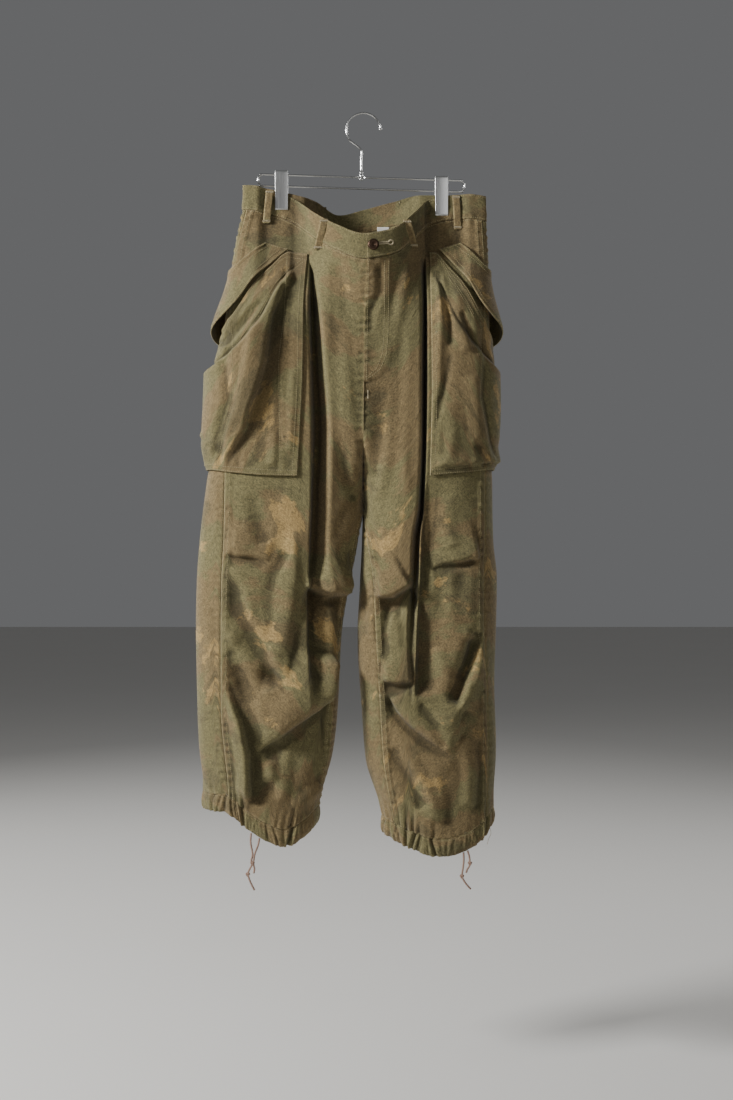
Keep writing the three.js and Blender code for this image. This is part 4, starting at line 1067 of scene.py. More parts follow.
def panel_grid(leg, front):
    """A leg panel's outer face: the leg's surface with its creases, felled seams that stand
    proud along the front's side seam and inseam, puckers that fade with the distance from the
    stitching, and gathers that rise toward the hem."""
    heights = np.linspace(WAIST_Z, CASING_Z, LEG_ROWS + 1)[:, None]
    row = leg.level(heights)
    angles = leg.front_angles(row) if front else leg.back_angles(row)
    points, n, _ = leg.surface(row, angles, 1.0)
    points[0, :, 2] -= SEAM_STEP
    run = arc(points, 1)
    z = points[..., 2]
    # The centre seam or inseam is the first column on the front and the last on the back
    centre, side = (run, run[:, -1:] - run) if front else (run[:, -1:] - run, run)
    wrinkle = np.sin(z / 1.7 + 1.5 * np.sin(z / 37)) * 0.3 + np.sin(z / 2.6 + 2 * np.sin(z / 53)) * 0.25
    rise = wrinkle * (2.4 * hump(side, 7, 6) + 2.3 * hump(centre, 5, 6))
    if front:
        rise += SIDE_PROUD * (1 - smooth((side - 11) / 2)) * smooth(side / 0.8)
        below = smooth((FORK_Z + 40 - z) / 20)
        rise += INSEAM_PROUD * (1 - smooth((centre - 9) / 2)) * smooth(centre / 0.8) * below
        if leg.name == "left":
            # The fly's facing ends in a curve that runs back to the seam
            curve = FLY_WIDE * np.sqrt(np.clip(1 - (np.maximum(FLY_FOOT - z, 0) / FLY_CURVE) ** 2, 0, 1))
            rise += SIDE_PROUD * (1 - smooth((centre - curve) / 2))
    shares = perimeter_share(leg)[0 if front else 1]
    above = heights - CASING_Z
    near_hem = (1 - smooth(above / GATHER_TALL)) * 0.55 + (1 - smooth(above / (GATHER_TALL / 3))) * 0.3
    rise += pucker(leg, shares[None], points[..., 0], front) * near_hem
    # Cloth drawn in under the waistband puckers for 20 mm below its seam
    below_band = 1 - smooth((WAIST_Z - heights) / 22)
    rise += below_band * smooth((WAIST_Z - heights) / 3) * 0.6 * np.sin(run / 3.1 + np.sin(run / 17) * 2)
    points = points + n * rise[..., None]
    middle = np.array([np.mean(points[..., 0]), 0, -600])
    normals = outward(points, grid_normals(points), middle)
    # Where the legs join, the walls of both meet square at the centre seam
    share = row["joined"][:, 0]
    straight = unit(np.stack([-leg.side * (1 - share), (-1 if front else 1) * share, 0 * share], -1))
    normals[share > 0, 0 if front else -1] = straight[share > 0]
    normals[0] = n[0]
    normals[-1] = n[-1]
    # Neighbouring panels stop short of each other, least at the centre seam
    gaps = (0.03, 0.16) if front else (0.16, 0.03)
    points[:, 0] += unit(points[:, 1] - points[:, 0]) * gaps[0]
    points[:, -1] += unit(points[:, -2] - points[:, -1]) * gaps[1]
    return points, normals


def rim_line(leg, count):
    """Points evenly round the leg where its panels end, their ways out, their shares of the
    way round, and whether each is on the front."""
    (front, front_ways), (back, back_ways) = edge_rows(leg, CASING_Z)
    ring = np.concatenate([front, back[1:]])
    ways = np.concatenate([front_ways, back_ways[1:]])
    run = run_along(ring)
    at = np.linspace(0, run[-1], count, endpoint=False)
    return (read_along(at, run, ring), unit(read_along(at, run, ways)), at / run[-1],
            at < run[len(front) - 1])


def casing_grid(leg, count=300, rows=16):
    """The hem casing: the rim line carried down 27 mm, with gathers that grow downward, a soft
    roll over the cord inside and a tucked lower edge."""
    p, n, share, front = rim_line(leg, count)
    down = np.linspace(0, 1, rows)[:, None]
    # Gathers lean to one side and the other as they go down
    lean = share[None] + 0.02 * (down - 0.5) * np.sin(share[None] * 44 + leg.seed)
    waves = pucker(leg, lean, p[None, :, 0], front[None])
    lift = waves * (0.85 + 0.35 * down) + 1.6 * np.sin(math.pi * down) - 1.2 * smooth((down - 0.8) / 0.2)
    fine = 0.4 * np.sin(share[None] * 2 * math.pi * 61 + 5 * np.sin(share[None] * 19) + 3 * down)
    lift = lift + fine * np.sin(math.pi * down)
    points = p[None] + n[None] * lift[..., None]
    points[..., 2] -= HEM_STEP + down * (CASING_TALL - HEM_STEP) + 0.8 * waves / 3 * down
    # Its upper edge runs on inside the leg, so that no light shows between them
    tuck = p - n * (CLOTH + 0.6)
    tuck[:, 2] += 3
    points = np.concatenate([tuck[None], points])
    return points, np.broadcast_to(n[None], points.shape).copy()


def pocket_grid(leg, columns=110, rows=124):
    """A cargo pocket: the leg's surface between its front edge, rear, slanted mouth and bottom,
    lifted by a swell that closes at the sides and the bottom, with its own creases, a raised
    mouth hem and a sewn-down edge."""
    across = np.linspace(0, 1, columns)[None]
    down = np.linspace(0, 1, rows)[:, None]

    def turn_of(z):
        row = leg.level(z)
        front = along(POCKET["frontZ"], POCKET_FRONT[leg.name], z)
        return mix(leg.turn_at(front, row), leg.turn_at(POCKET["rear"], row), across)

    def edge(ways, heights, start):
        start = np.broadcast_to(start, across.shape)
        return along(ways, heights, leg.way_at(turn_of(start), leg.level(start)))

    ends = MOUTH_EDGE["z"]
    top = edge(MOUTH_EDGE["around"], ends, mix(ends[1], ends[-1], across))
    bottom = edge(POCKET["bottomAround"], POCKET["bottomZ"], POCKET["bottomZ"][0])
    height = mix(top, bottom, down)
    turn = turn_of(height)
    p, n, front = leg.around(turn, height)
    deep = top - height
    swell = np.maximum(0, np.sin(math.pi * across) ** 0.6 * np.cos(math.pi / 2 * down ** 2.6))
    # Above the mouth's seam the hemmed band lies close to the leg; below it the slack swells
    ends = POCKET["mouthZ"]
    seam = edge(POCKET["mouthAround"], ends, mix(ends[0], ends[-1], across))
    below = seam - height
    swell = swell * (0.1 + 0.25 * smooth(deep / 40) + 0.65 * smooth((below + 4) / 13))
    x, z = p[..., 0], p[..., 2]
    if leg.name == "right":
        # In front of the ridge the pocket lies flat; the slack cloth drops to it in 18 mm
        east = ridge_side(POCKET_RIDGE, x, z)
        swell = swell * (1.12 - 1.04 * smooth((east + 2) / 10)) * np.where(turn < 0, 1, 0.9)
    room = POCKET_ROOM[leg.name] * swell
    inside = smooth(across / 0.05) * smooth((1 - across) / 0.05) * smooth((1 - down) / 0.05)
    creases = crease_rise(POCKET_CREASES[leg.name], x, z, 1.15) * smooth((0.12 - turn) / 0.3)
    for line in POCKET_SEAMS[leg.name]:
        off = ridge_side(line, x, z)
        gather = np.sin(z / 2.7 + 3 * np.sin(z / 23)) * 0.4 * hump(off, 6, 5)
        ridge = 1.6 * smooth((off + 1) / 3) * (1 - smooth(off / 9))
        creases = creases + np.where(turn < 0, ridge + gather, 0)
    rear = smooth((np.degrees(turn) - 4) / 14)
    soft = billow(np.degrees(turn) * 2.2, z, leg.seed + 3) * 1.6
    lift = SEWN_LIFT + CLOTH + room
    lift = lift + inside * (np.maximum(creases, -0.85 * room - 0.5)
                            + soft * np.minimum(1, room / 5 + 0.15) * (0.6 + 1.2 * rear))
    # Mouth hem, and the seam allowance turned under at the front and the bottom
    lift = lift + 0.7 * (1 - smooth((deep - 13) / 2)) - 1.3 * hump(below, -3, 3)
    above = height - bottom
    lift = lift + 0.6 * (1 - smooth((across * 190 - 9) / 2)) + 0.6 * (1 - smooth((above - 9) / 2))
    # The stitched bottom edge is drawn into small puckers
    lift = lift + hump(above, 14, 9) * 0.7 * np.sin(across * 96 + 2 * np.sin(across * 21))
    if leg.name == "left":
        # Here the slack cloth sags over its bottom seam in a rolled lip
        sag = smooth((above - 9) / 4) * hump(above, 13, 16)
        lift = lift + 6 * sag * smooth(across / 0.06) * smooth((0.62 - across) / 0.1)
    points = p + n * lift[..., None]
    return points, n


def flap_grid(leg, columns=64, rows=40):
    """A pocket flap: the leg's surface between its sewn edge and its free edge, lifted by the
    slack of the free edge, with a rolled hem and slack waves."""
    across = np.linspace(0, 1, columns)[None]
    down = np.linspace(0, 1, rows)[:, None]
    stations = np.linspace(0, 1, 6)
    read = {key: along(stations, FLAP[key], across) for key in FLAP}
    turn = np.radians(mix(read["sewnTurn"], read["freeTurn"], down))
    height = mix(read["sewnZ"], read["freeZ"], down)
    p, n, _ = leg.around(turn, height)
    lift = FLAP_LIFT + CLOTH + read["slack"] * smooth(down)
    free = smooth(down) * smooth(across / 0.1)
    lift = lift + 1.4 * free * np.sin(across * 17 + down * 3 + leg.seed)
    lift = lift + 0.8 * free * np.sin(across * 31 + 2)
    lift = lift + 0.5 * smooth((down - 0.86) / 0.03) + 0.5 * (1 - smooth((down - 0.1) / 0.03))
    return p + n * np.maximum(lift, FLAP_LIFT + CLOTH)[..., None], n


def waistband_grid(rows=22):
    """The waistband: from under the front overlap, right front, back, left front to the
    overlap's end, with pressed edges and slight seam puckers."""
    right, left = edge_rows(LEGS["right"], WAIST_Z), edge_rows(LEGS["left"], WAIST_Z)
    across = left[0][0][:, 0]
    under = (across > OUTLINES["right"]["seam"][0] + 1) & (across < UNDERLAP_END)
    line, ways = [np.concatenate([left_front[under][::-1], front, back[1:], left_back[::-1][1:],
                                  left_front[::-1][1:]])
                  for front, back, left_front, left_back in zip(*right, *left)]
    over_start = len(line) - len(across) + 1
    is_over = np.arange(len(line)) >= over_start
    over = np.where(is_over, OVERLAP_LIFT * smooth((UNDERLAP_END + 24 - line[:, 0]) / 20), 0)
    share = np.linspace(0, 1, rows)[:, None]
    run = run_along(line)[None]
    # The overlap's end is cut round at its upper corner
    from_end = run[0, -1] - run
    corner = np.where(from_end < 8, 8 - np.sqrt(np.maximum(64 - (8 - from_end) ** 2, 0)), 0)
    z = line[None, :, 2] + mix(BAND_TALL - corner, 0, share)
    waves = 0.45 * np.sin(run / 3.3 + 2 * np.sin(run / 29)) + 0.25 * np.sin(run / 1.9)
    lift = over[None] + waves * (hump(share, 0.9, 0.1) + 0.5 * hump(share, 0.1, 0.1))
    lift = lift - 0.5 * hump(share, 0.07, 0.03) - 0.5 * hump(share, 0.93, 0.03)
    lift = lift + smooth((share - 0.45) / 0.3)
    points = np.stack(np.broadcast_arrays(line[:, 0], line[:, 1], z), -1) + ways[None] * lift[..., None]
    return points, np.broadcast_to(ways[None], points.shape).copy()


def cloth_at(x, front, drop):
    """Waistband or leg cloth at x, a drop below the waistband's top edge, and its way out."""
    x = np.asarray(x, float)
    leg = LEGS["right"] if np.mean(x) < OUTLINES["right"]["seam"][0] else LEGS["left"]
    row = leg.level(np.full(x.shape, float(WAIST_Z)))
    seam, seam_n, _ = leg.base(row, (-1 if front else 1) * leg.angle_of(row, x))
    z = seam[..., 2] + BAND_TALL - drop
    low, low_n, _ = leg.at_x(x, front, z)
    on_band = (z >= seam[..., 2])[..., None]
    point = np.where(on_band, seam, low)
    point[..., 2] = z
    return point, np.where(on_band, seam_n, low_n)


def loop_grid(top, foot, front, lift, columns=9, rows=34):
    """A belt loop: a strip over the waistband, sewn down at both ends and standing off between,
    with folded edges."""
    t = np.linspace(0, 1, rows)
    p, n = cloth_at(mix(top, foot, t), front, mix(LOOP_HIGH, LOOP_LOW, t))
    n = unit(np.stack([np.interp(t, [0, 0.4, 1], n[[0, 14, -1], k]) for k in range(3)], -1))
    off = np.linspace(-0.5, 0.5, columns)[None, :, None] * LOOP_WIDE
    way = unit(np.cross(n, (0, 0, 1)) * (1 if front else -1))
    raised = lift + LOOP_THICK + 0.6 + (LOOP_ARCH + 0.8) * np.sin(math.pi * t)
    raised = raised - 0.6 * hump(t, 0.07, 0.03) - 0.6 * hump(t, 0.93, 0.03)
    folded = 0.6 * np.abs(off[..., 0] / LOOP_WIDE * 2) ** 6
    points = p[:, None] + off * way[:, None] + n[:, None] * (raised[:, None] - folded)[..., None]
    return points, np.broadcast_to(n[:, None], points.shape).copy()


def cloth_piece(name, points, normals, nodes, offset, turn=0.0, wrap=False, thick=CLOTH, crisp=2,
                edge_wear=0.8):
    facing = outward(points, grid_normals(points, wrap), points.mean(axis=(0, 1)))
    facing = facing if np.sum(facing * normals) > 0 else -facing
    # Wear follows sharp bends, the shade of hollows broad ones
    sharp, broad = crest(points, facing, crisp), crest(points, facing, 7)
    shade = np.where(broad < 0, np.minimum(sharp * 0.5, 0) + broad * 0.8, np.maximum(sharp, 0))
    # Hems and seam edges are rubbed pale along their last 2 mm
    run, down = arc(points, 1), arc(points, 0)
    to_edge = np.minimum(down, down[-1:] - down)
    if not wrap:
        to_edge = np.minimum(to_edge, np.minimum(run, run[:, -1:] - run))
    shade = np.clip(np.minimum(shade, 0.3) + edge_wear * hump(to_edge, 0, 2.4), -1, 1)
    # Dark spots: the shade value is drawn to its darkest round each point
    for x, z, radius in DARK_SPOTS.get(name, ()):
        far = np.hypot(points[..., 0] - x, points[..., 2] - z)
        shade = np.where((far < 3 * radius) & (facing[..., 1] < 0),
                         mix(shade, -1.0, hump(far, 0, radius)), shade)
    uv = flat_map(points, offset, turn)
    piece = declared(wall(name, points, normals, thick, material("cloth"), uv, shade, wrap), "cloth", *nodes)
    GRIDS[name] = (points, facing)
    return piece


def across_line(grid, distance, from_end=False):
    """The line of a grid a distance in from its first or last column, with normals."""
    points, normals = grid
    if from_end:
        points, normals = points[:, ::-1], normals[:, ::-1]
    run = arc(points, 1)
    i = np.clip((run < distance).sum(axis=1), 1, points.shape[1] - 1)
    rows = np.arange(len(points))
    before, after = run[rows, i - 1], run[rows, i]
    t = ((distance - before) / np.maximum(after - before, 1e-6))[:, None]
    return (mix(points[rows, i - 1], points[rows, i], t), normals[rows, i])


def down_line(grid, distance, from_end=False):
    """The line of a grid a distance down from its first or last row, with normals."""
    turned = (grid[0].swapaxes(0, 1), grid[1].swapaxes(0, 1))
    return across_line(turned, distance, from_end)


def on_cloth(name, xz, outer=0.0):
    """Points of a cloth grid nearest to (x, z) as seen from the front, moved onto the cell's
    plane, with normals. Outer prefers the layer in front where cloth lies double."""
    points, normals = GRIDS[name]
    flat = points.reshape(-1, 3)
    ways = normals.reshape(-1, 3)
    keep = ways[:, 1] < -0.05
    flat, ways = flat[keep], ways[keep]
    xz = np.asarray(xz, float)
    near = np.argmin((xz[:, :1] - flat[None, :, 0]) ** 2 + (xz[:, 1:] - flat[None, :, 2]) ** 2
                     + outer * flat[None, :, 1], axis=1)
    p, n = flat[near], ways[near]
    y = p[:, 1] - ((xz[:, 0] - p[:, 0]) * n[:, 0] + (xz[:, 1] - p[:, 2]) * n[:, 2]) / n[:, 1]
    return np.stack([xz[:, 0], y, xz[:, 1]], -1), n


def flat_line(points, count):
    """A straight-sided (x, z) line with count places evenly along it."""
    run = run_along(points)
    return read_along(np.linspace(0, run[-1], count), run, points)


# Stitch lines of each grid: along its sides or its ends, from the far one or not, how far in,
# and between which heights if not all the way
LEG_SEAMS = [
    ("front", across_line, True, (2.2, 9.4), ()),
    ("front", across_line, False, (2.0, 8.0), (FORK_Z + 30, -1200)),
    ("back", across_line, False, (1.8,), ()),
    ("back", across_line, True, (1.8, 8.0), (0, FORK_TOP - 60)),
    ("back", across_line, True, (2.0, 8.4), (-190, FORK_TOP)),
    ("front", down_line, False, (2.4,), ()),
    ("back", down_line, False, (2.4,), ()),
]
POCKET_EDGES = [
    ("pocket", across_line, False, (1.8, 8.2), ()),
    ("pocket", across_line, True, (1.8,), ()),
    ("pocket", down_line, True, (1.8, 8.2), ()),
    ("pocket", down_line, False, (2.4, 9.6), ()),
]
FLAP_EDGES = [
    ("pocket_flap", down_line, False, (1.8, 8.2), ()),
    ("pocket_flap", down_line, True, (1.8, 8.2), ()),
    ("pocket_flap", across_line, False, (2.0,), ()),
    ("pocket_flap", across_line, True, (2.0,), ()),
]
HEM_EDGES = [("casing", down_line, False, (6.4,), ())]
BAND_EDGES = [
    ("waistband", down_line, False, (2.2,), ()),
    ("waistband", down_line, True, (2.2,), ()),
    ("waistband", across_line, True, (2.5,), ()),
]
# The fly's double topstitching and the edge stitching of its opening, as (x, z)
FLY_SEAM = [(38.5, -238), (38, -300), (37.5, -350), (35, -380), (26, -402), (12, -414), (3, -419)]
FLY_EDGE = [(6.5, -240), (4.4, -330), (3.4, -420)]
# Bar tacks and the buttonhole: how far in from a loop's end, and pitch and width of a stitch
TACK_IN = 3.2
TACK_PITCH = 1.1
SATIN = 0.9


def seam_lines(table, ending=""):
    """The stitch lines of a table, on the grids whose names have this ending."""
    lines = []
    for part, way, far, insets, between in table:
        for inset in insets:
            points, normals = way(GRIDS[f"cloth_{part}{ending}"], inset, far)
            if between:
                keep = (points[:, 2] < between[0]) & (points[:, 2] > between[1])
                points, normals = points[keep], normals[keep]
            lines.append((points, normals))
    return lines


# ---------------------------------------------------------------- settings
def length_setting(name, description, value):
    return bpy.props.FloatProperty(name=name, description=description, default=value, unit="LENGTH")


def colour_setting(name, description, code):
    return bpy.props.FloatVectorProperty(name=name, description=description, default=linear(code),
                                         subtype="COLOR", min=0, max=1)


class GarmentSizes(bpy.types.PropertyGroup):
    stitch: length_setting("Stitch pitch", "Distance from stitch to stitch", 3.4 * MM)
    thread: length_setting("Thread width", "Width of the sewing thread", 1.0 * MM)
    cord: length_setting("Drawcord width", "Diameter of the drawcord", 2.8 * MM)
    floor: length_setting("Floor height", "Height of the floor below the hook", -1.5)


class GarmentColours(bpy.types.PropertyGroup):
    green: colour_setting("Green", "Ground colour of the print", "#716A4A")
    brown: colour_setting("Brown", "Second colour of the print", "#776749")
    dark: colour_setting("Dark", "Darkest colour of the print", "#57503A")
    tan: colour_setting("Tan", "Lightest colour of the print", "#A68B5B")
    worn: colour_setting("Worn", "Rubbed ridges and seam edges", "#AA9A70")
    # Deep is the colour of painted shade in the cloth's valleys, also used on its inner face and dark spots
    deep: colour_setting("Deep", "Unfaded cloth in the valleys", "#2E2A1E")
    thread: colour_setting("Thread", "Sewing thread", "#90855F")
    pale_thread: colour_setting("Pale thread", "Buttonhole thread", "#C4B797")
    cord: colour_setting("Drawcord", "Drawcord", "#94796A")
    steel: colour_setting("Steel", "Hanger", "#D8D8D6")
    copper: colour_setting("Copper", "Button", "#5F4B3E")
    label: colour_setting("Label", "Blank label", "#E8E6E0")
    floor: colour_setting("Floor", "Studio floor", "#D6D4CF")


class GarmentOperator:
    bl_options = {"REGISTER", "UNDO"}


class GARMENT_OT_stage(GarmentOperator, bpy.types.Operator):
    """Add the camera, the pale floor and the soft studio light"""
    bl_idname = "garment.stage"
    bl_label = "Stage"

    def execute(self, context):
        scene = context.scene
        camera = bpy.data.cameras.new("camera")
        # A 36 mm frame side lies along the picture's height
        camera.sensor_fit = "VERTICAL"
        camera.sensor_height = 36
        camera.lens = CAMERA_LENS
        camera.clip_end = 50
        scene.camera = placed("camera", camera)
        scene.camera.location = CAMERA_PLACE
        scene.camera.rotation_euler = (math.pi / 2, 0, 0)
        corners = np.array([(-1, -1), (1, -1), (1, 1), (-1, 1)]) * FLOOR_REACH / MM
        points = np.concatenate([corners, np.full((4, 1), scene.garment_sizes.floor / MM)], axis=1)
        mesh = bpy.data.meshes.new("floor")
        mesh.from_pydata((points * MM).tolist(), [], [(0, 1, 2, 3)])
        mesh.materials.append(material("floor"))
        placed("floor", mesh)
        for name, (place, aim, size, energy) in LIGHTS.items():
            light = bpy.data.lights.new(name, "AREA")
            light.shape = "DISK"
            light.size = size
            light.energy = energy
            lamp = placed(name, light)
            x, y, z = np.subtract(aim, place)
            lamp.location = place
            lamp.rotation_euler = (math.atan2(math.hypot(x, y), -z), 0, math.atan2(-x, y))
        world = bpy.data.worlds.new("studio")
        world.use_nodes = True
        sky = world.node_tree.nodes["Background"]
        sky.inputs["Color"].default_value = SKY_COLOUR
        sky.inputs["Strength"].default_value = SKY_STRENGTH
        scene.world = world
        return {"FINISHED"}


class GARMENT_OT_legs(GarmentOperator, bpy.types.Operator):
    """Add the fronts and backs of both legs"""
    bl_idname = "garment.legs"
    bl_label = "Legs"

    def execute(self, context):
        places = {"right": ((100, 300), (900, 700)), "left": ((1700, 120), (2500, 900))}
        for name, leg in LEGS.items():
            for part, front in (("front", True), ("back", False)):
                points, normals = panel_grid(leg, front)
                offset = places[name][0 if front else 1]
                cloth_piece(f"cloth_{part}_{name}", points, normals, [f"{part}_{name}"], offset)
        return {"FINISHED"}


class GARMENT_OT_hems(GarmentOperator, bpy.types.Operator):
    """Add the gathered hem casings"""
    bl_idname = "garment.hems"
    bl_label = "Hem casings"

    def execute(self, context):
        for name, leg in LEGS.items():
            points, normals = casing_grid(leg)
            cloth_piece(f"cloth_casing_{name}", points, normals, [f"hem_casing_{name}"],
                        (300 + leg.side * 200, 2100), wrap=True, edge_wear=0.35)
        return {"FINISHED"}


class GARMENT_OT_waistband(GarmentOperator, bpy.types.Operator):
    """Add the waistband and its belt loops"""
    bl_idname = "garment.waistband"
    bl_label = "Waistband"

    def execute(self, context):
        points, normals = waistband_grid()
        cloth_piece("cloth_waistband", points, normals, ["waistband"], (3300, 200))
        for k, (top, foot, front, lift) in enumerate(LOOPS, 1):
            points, normals = loop_grid(top, foot, front, lift)
            cloth_piece(f"cloth_belt_loop_{k}", points, normals, [f"belt_loop_{k}"], (3300 + 40 * k, 600),
                        thick=LOOP_THICK, crisp=1)
        return {"FINISHED"}


class GARMENT_OT_pockets(GarmentOperator, bpy.types.Operator):
    """Add the cargo pockets and their flaps"""
    bl_idname = "garment.pockets"
    bl_label = "Pockets"

    def execute(self, context):
        for name, leg in LEGS.items():
            points, normals = pocket_grid(leg)
            cloth_piece(f"cloth_pocket_{name}", points, normals, [f"pocket_{name}"],
                        (4100 + 300 * leg.side, 400), 0.35 * leg.side)
            points, normals = flap_grid(leg)
            cloth_piece(f"cloth_pocket_flap_{name}", points, normals, [f"pocket_flap_{name}"],
                        (4900 + 300 * leg.side, 300), 0.7 * leg.side)
        return {"FINISHED"}


class GARMENT_OT_sewing(GarmentOperator, bpy.types.Operator):
    """Add the stitching of the seams, edges and hems"""
    bl_idname = "garment.sewing"
    bl_label = "Sewing"

    def execute(self, context):
        sizes = context.scene.garment_sizes
        pitch, wide = sizes.stitch / MM, sizes.thread / MM

        def sew(name, lines, width=wide):
            parts = [stitch_run(p + n * 0.1, n, pitch, pitch * 0.78, width) for p, n in lines if len(p) > 3]
            declared(solid(name, *joined(parts), material("thread")), "cloth")

        for name in LEGS:
            sew(f"stitching_leg_{name}", seam_lines(LEG_SEAMS, f"_{name}"))
            pocket = f"cloth_pocket_{name}"
            lines = seam_lines(POCKET_EDGES, f"_{name}")
            lines += [on_cloth(pocket, flat_line(MOUTH_SEAM[name], 70) + (0, inset)) for inset in (0, 6)]
            lines += [on_cloth(pocket, flat_line(seam, 90)) for seam in POCKET_SEAMS[name]]
            sew(f"stitching_pocket_{name}", lines + seam_lines(FLAP_EDGES, f"_{name}"))
            sew(f"stitching_hem_{name}", seam_lines(HEM_EDGES, f"_{name}"), 0.6 * wide)
        sew("stitching_waistband", seam_lines(BAND_EDGES))
        fly = [flat_line(FLY_SEAM, 90) - (inset, 0) for inset in (0, 6)]
        fly = [line[line[:, 0] > 2.5] for line in fly] + [flat_line(FLY_EDGE, 70) + (1.6, 0)]
        sew("stitching_fly", [on_cloth("cloth_front_left", line) for line in fly])
        return {"FINISHED"}


class GARMENT_OT_tacks(GarmentOperator, bpy.types.Operator):
    """Add the bar tacks, the buttonhole and the loose thread"""
    bl_idname = "garment.tacks"
    bl_label = "Bar tacks and buttonhole"

    def execute(self, context):
        parts = []
        # Bar tacks close each belt loop's ends: satin stitches side by side across the loop
        for k in range(1, len(LOOPS) + 1):
            for far in (False, True):
                p, n = down_line(GRIDS[f"cloth_belt_loop_{k}"], TACK_IN, far)
                parts.append(stitch_run(p + n * 0.2, n, TACK_PITCH, SATIN, 3.8))
        # One more closes the foot of the fly
        p, n = on_cloth("cloth_front_left", flat_line([(7, -434), (7, -447)], 14))
        parts.append(stitch_run(p, n, TACK_PITCH, SATIN, 2.2))
        declared(solid("bar_tacks", *joined(parts), material("pale_thread")), "cloth")
        # Buttonhole: satin stitches round a keyhole slot beside the button
        turn = np.linspace(math.pi - 0.5, 0.5 - math.pi, 50)
        x = np.concatenate([np.linspace(23, 38, 30), 41.5 + 3.4 * np.cos(turn), np.linspace(38, 23, 30)])
        z = np.concatenate([np.full(30, 1.1), 3.4 * np.sin(turn), np.full(30, -1.1)]) - 212 + 0.12 * (x - 34)
        p, n = on_cloth("cloth_waistband", np.stack([x, z], -1), 3.0)
        hole = stitch_run(p + n * 0.3, n, 1.0, SATIN, 2.6)
        declared(solid("buttonhole", *hole, material("pale_thread")), "cloth")
        line = curve_through([(195, -16, -1104), (196, -19, -1112), (192.5, -21, -1119), (190, -22, -1128)],
                             24)
        loose = sweep(line, circle(0.35, 6), (0, 1, 0))
        declared(solid("loose_thread", *loose, material("pale_thread")), "cloth")
        return {"FINISHED"}


class GARMENT_OT_fastening(GarmentOperator, bpy.types.Operator):
    """Add the waist button and the blank label"""
    bl_idname = "garment.fastening"
    bl_label = "Button and label"

    def execute(self, context):
        radius, hole, thick = BUTTON["radius"], BUTTON["hole"], BUTTON["thick"]
        profile = [(0, 0), (radius - 1, 0), (radius - 0.2, 0.3), (radius, 0.9), (radius - 0.2, 1.6),
                   (radius - 0.8, 2.5), (radius - 1.8, thick - 0.15), (radius - 2.8, thick),
                   (radius - 3.4, thick - 0.3), (radius - 3.8, thick - 0.5), (hole + 1.2, thick - 0.5),
                   (hole + 0.8, thick - 0.2), (hole + 0.3, thick - 0.3), (hole, thick - 0.9),
                   (hole - 0.2, thick - 1.8), (hole - 0.6, 1.2), (0, 1.1)]
        points, faces = lathe(profile, 48)
        low, high = [np.array(v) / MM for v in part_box("button")]
        turned = np.stack([points[:, 0], -points[:, 2], points[:, 1]], -1)
        turned += np.array([(low[0] + high[0]) / 2, high[1], (low[2] + high[2]) / 2])
        declared(solid("waist_button", turned, faces, material("copper")), "button", "button")
        low, high = [np.array(v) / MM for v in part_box("label")]
        u = np.linspace(0, 1, 16)[None]
        v = np.linspace(0, 1, 22)[:, None]
        x = mix(low[0], high[0], u) + 0 * v
        z = mix(high[2], low[2], v) + 0 * u
        y = low[1] + 0.35 * np.sin(math.pi * u) * v + 0.3 * np.sin(v * 5) * v
        points = np.stack([x, y, z], -1)
        normals = outward(points, grid_normals(points), np.array([x.mean(), y.mean() + 10, z.mean()]))
        label = wall("blank_label", points, normals, 0.5, material("label"), flat_map(points, (0, 0)), 0 * x)
        declared(label, "label", "label")
        return {"FINISHED"}


def plait(path, radius, count=14):
    """A cord's sections: a circle swelled by two crossing spirals, each 8% of its radius."""
    a = np.linspace(0, 2 * math.pi, count, endpoint=False)[None]
    spiral = run_along(path)[:, None] * 2 * math.pi / PLAIT_TURN
    swell = radius * (1 + 0.08 * np.cos(3 * (a + spiral / 3)) + 0.08 * np.cos(3 * (a - spiral / 3)))
    return np.stack([np.cos(a) * swell, np.sin(a) * swell], -1)


class GARMENT_OT_drawcords(GarmentOperator, bpy.types.Operator):
    """Add the free drawcord ends and their knots"""
    bl_idname = "garment.drawcords"
    bl_label = "Drawcords"

    def execute(self, context):
        radius = context.scene.garment_sizes.cord / MM / 2
        for name, centre in KNOTS.items():
            # An overhand knot: a trefoil of the cord pulled tight
            t = np.linspace(0, 2 * math.pi, 97)
            ring = np.stack([np.sin(t) + 2 * np.sin(2 * t), 0.9 * np.sin(3 * t),
                             np.cos(t) - 2 * np.cos(2 * t)], -1)
            tied = sweep(ring * KNOT_TIGHT + centre, circle(radius * KNOT_TIGHT, 12), (0, 1, 0))
            declared(solid(f"{name}_tied", *tied, material("cord")), "cord", name)
        for name, cord in CORDS.items():
            line = curve_through(cord["path"], 12 * len(cord["path"]))
            lay = sweep(line, plait(line, radius), (0, 1, 0))
            piece = declared(solid(name, *lay, material("cord")), "cord", *cord["nodes"])
        return {"FINISHED"}


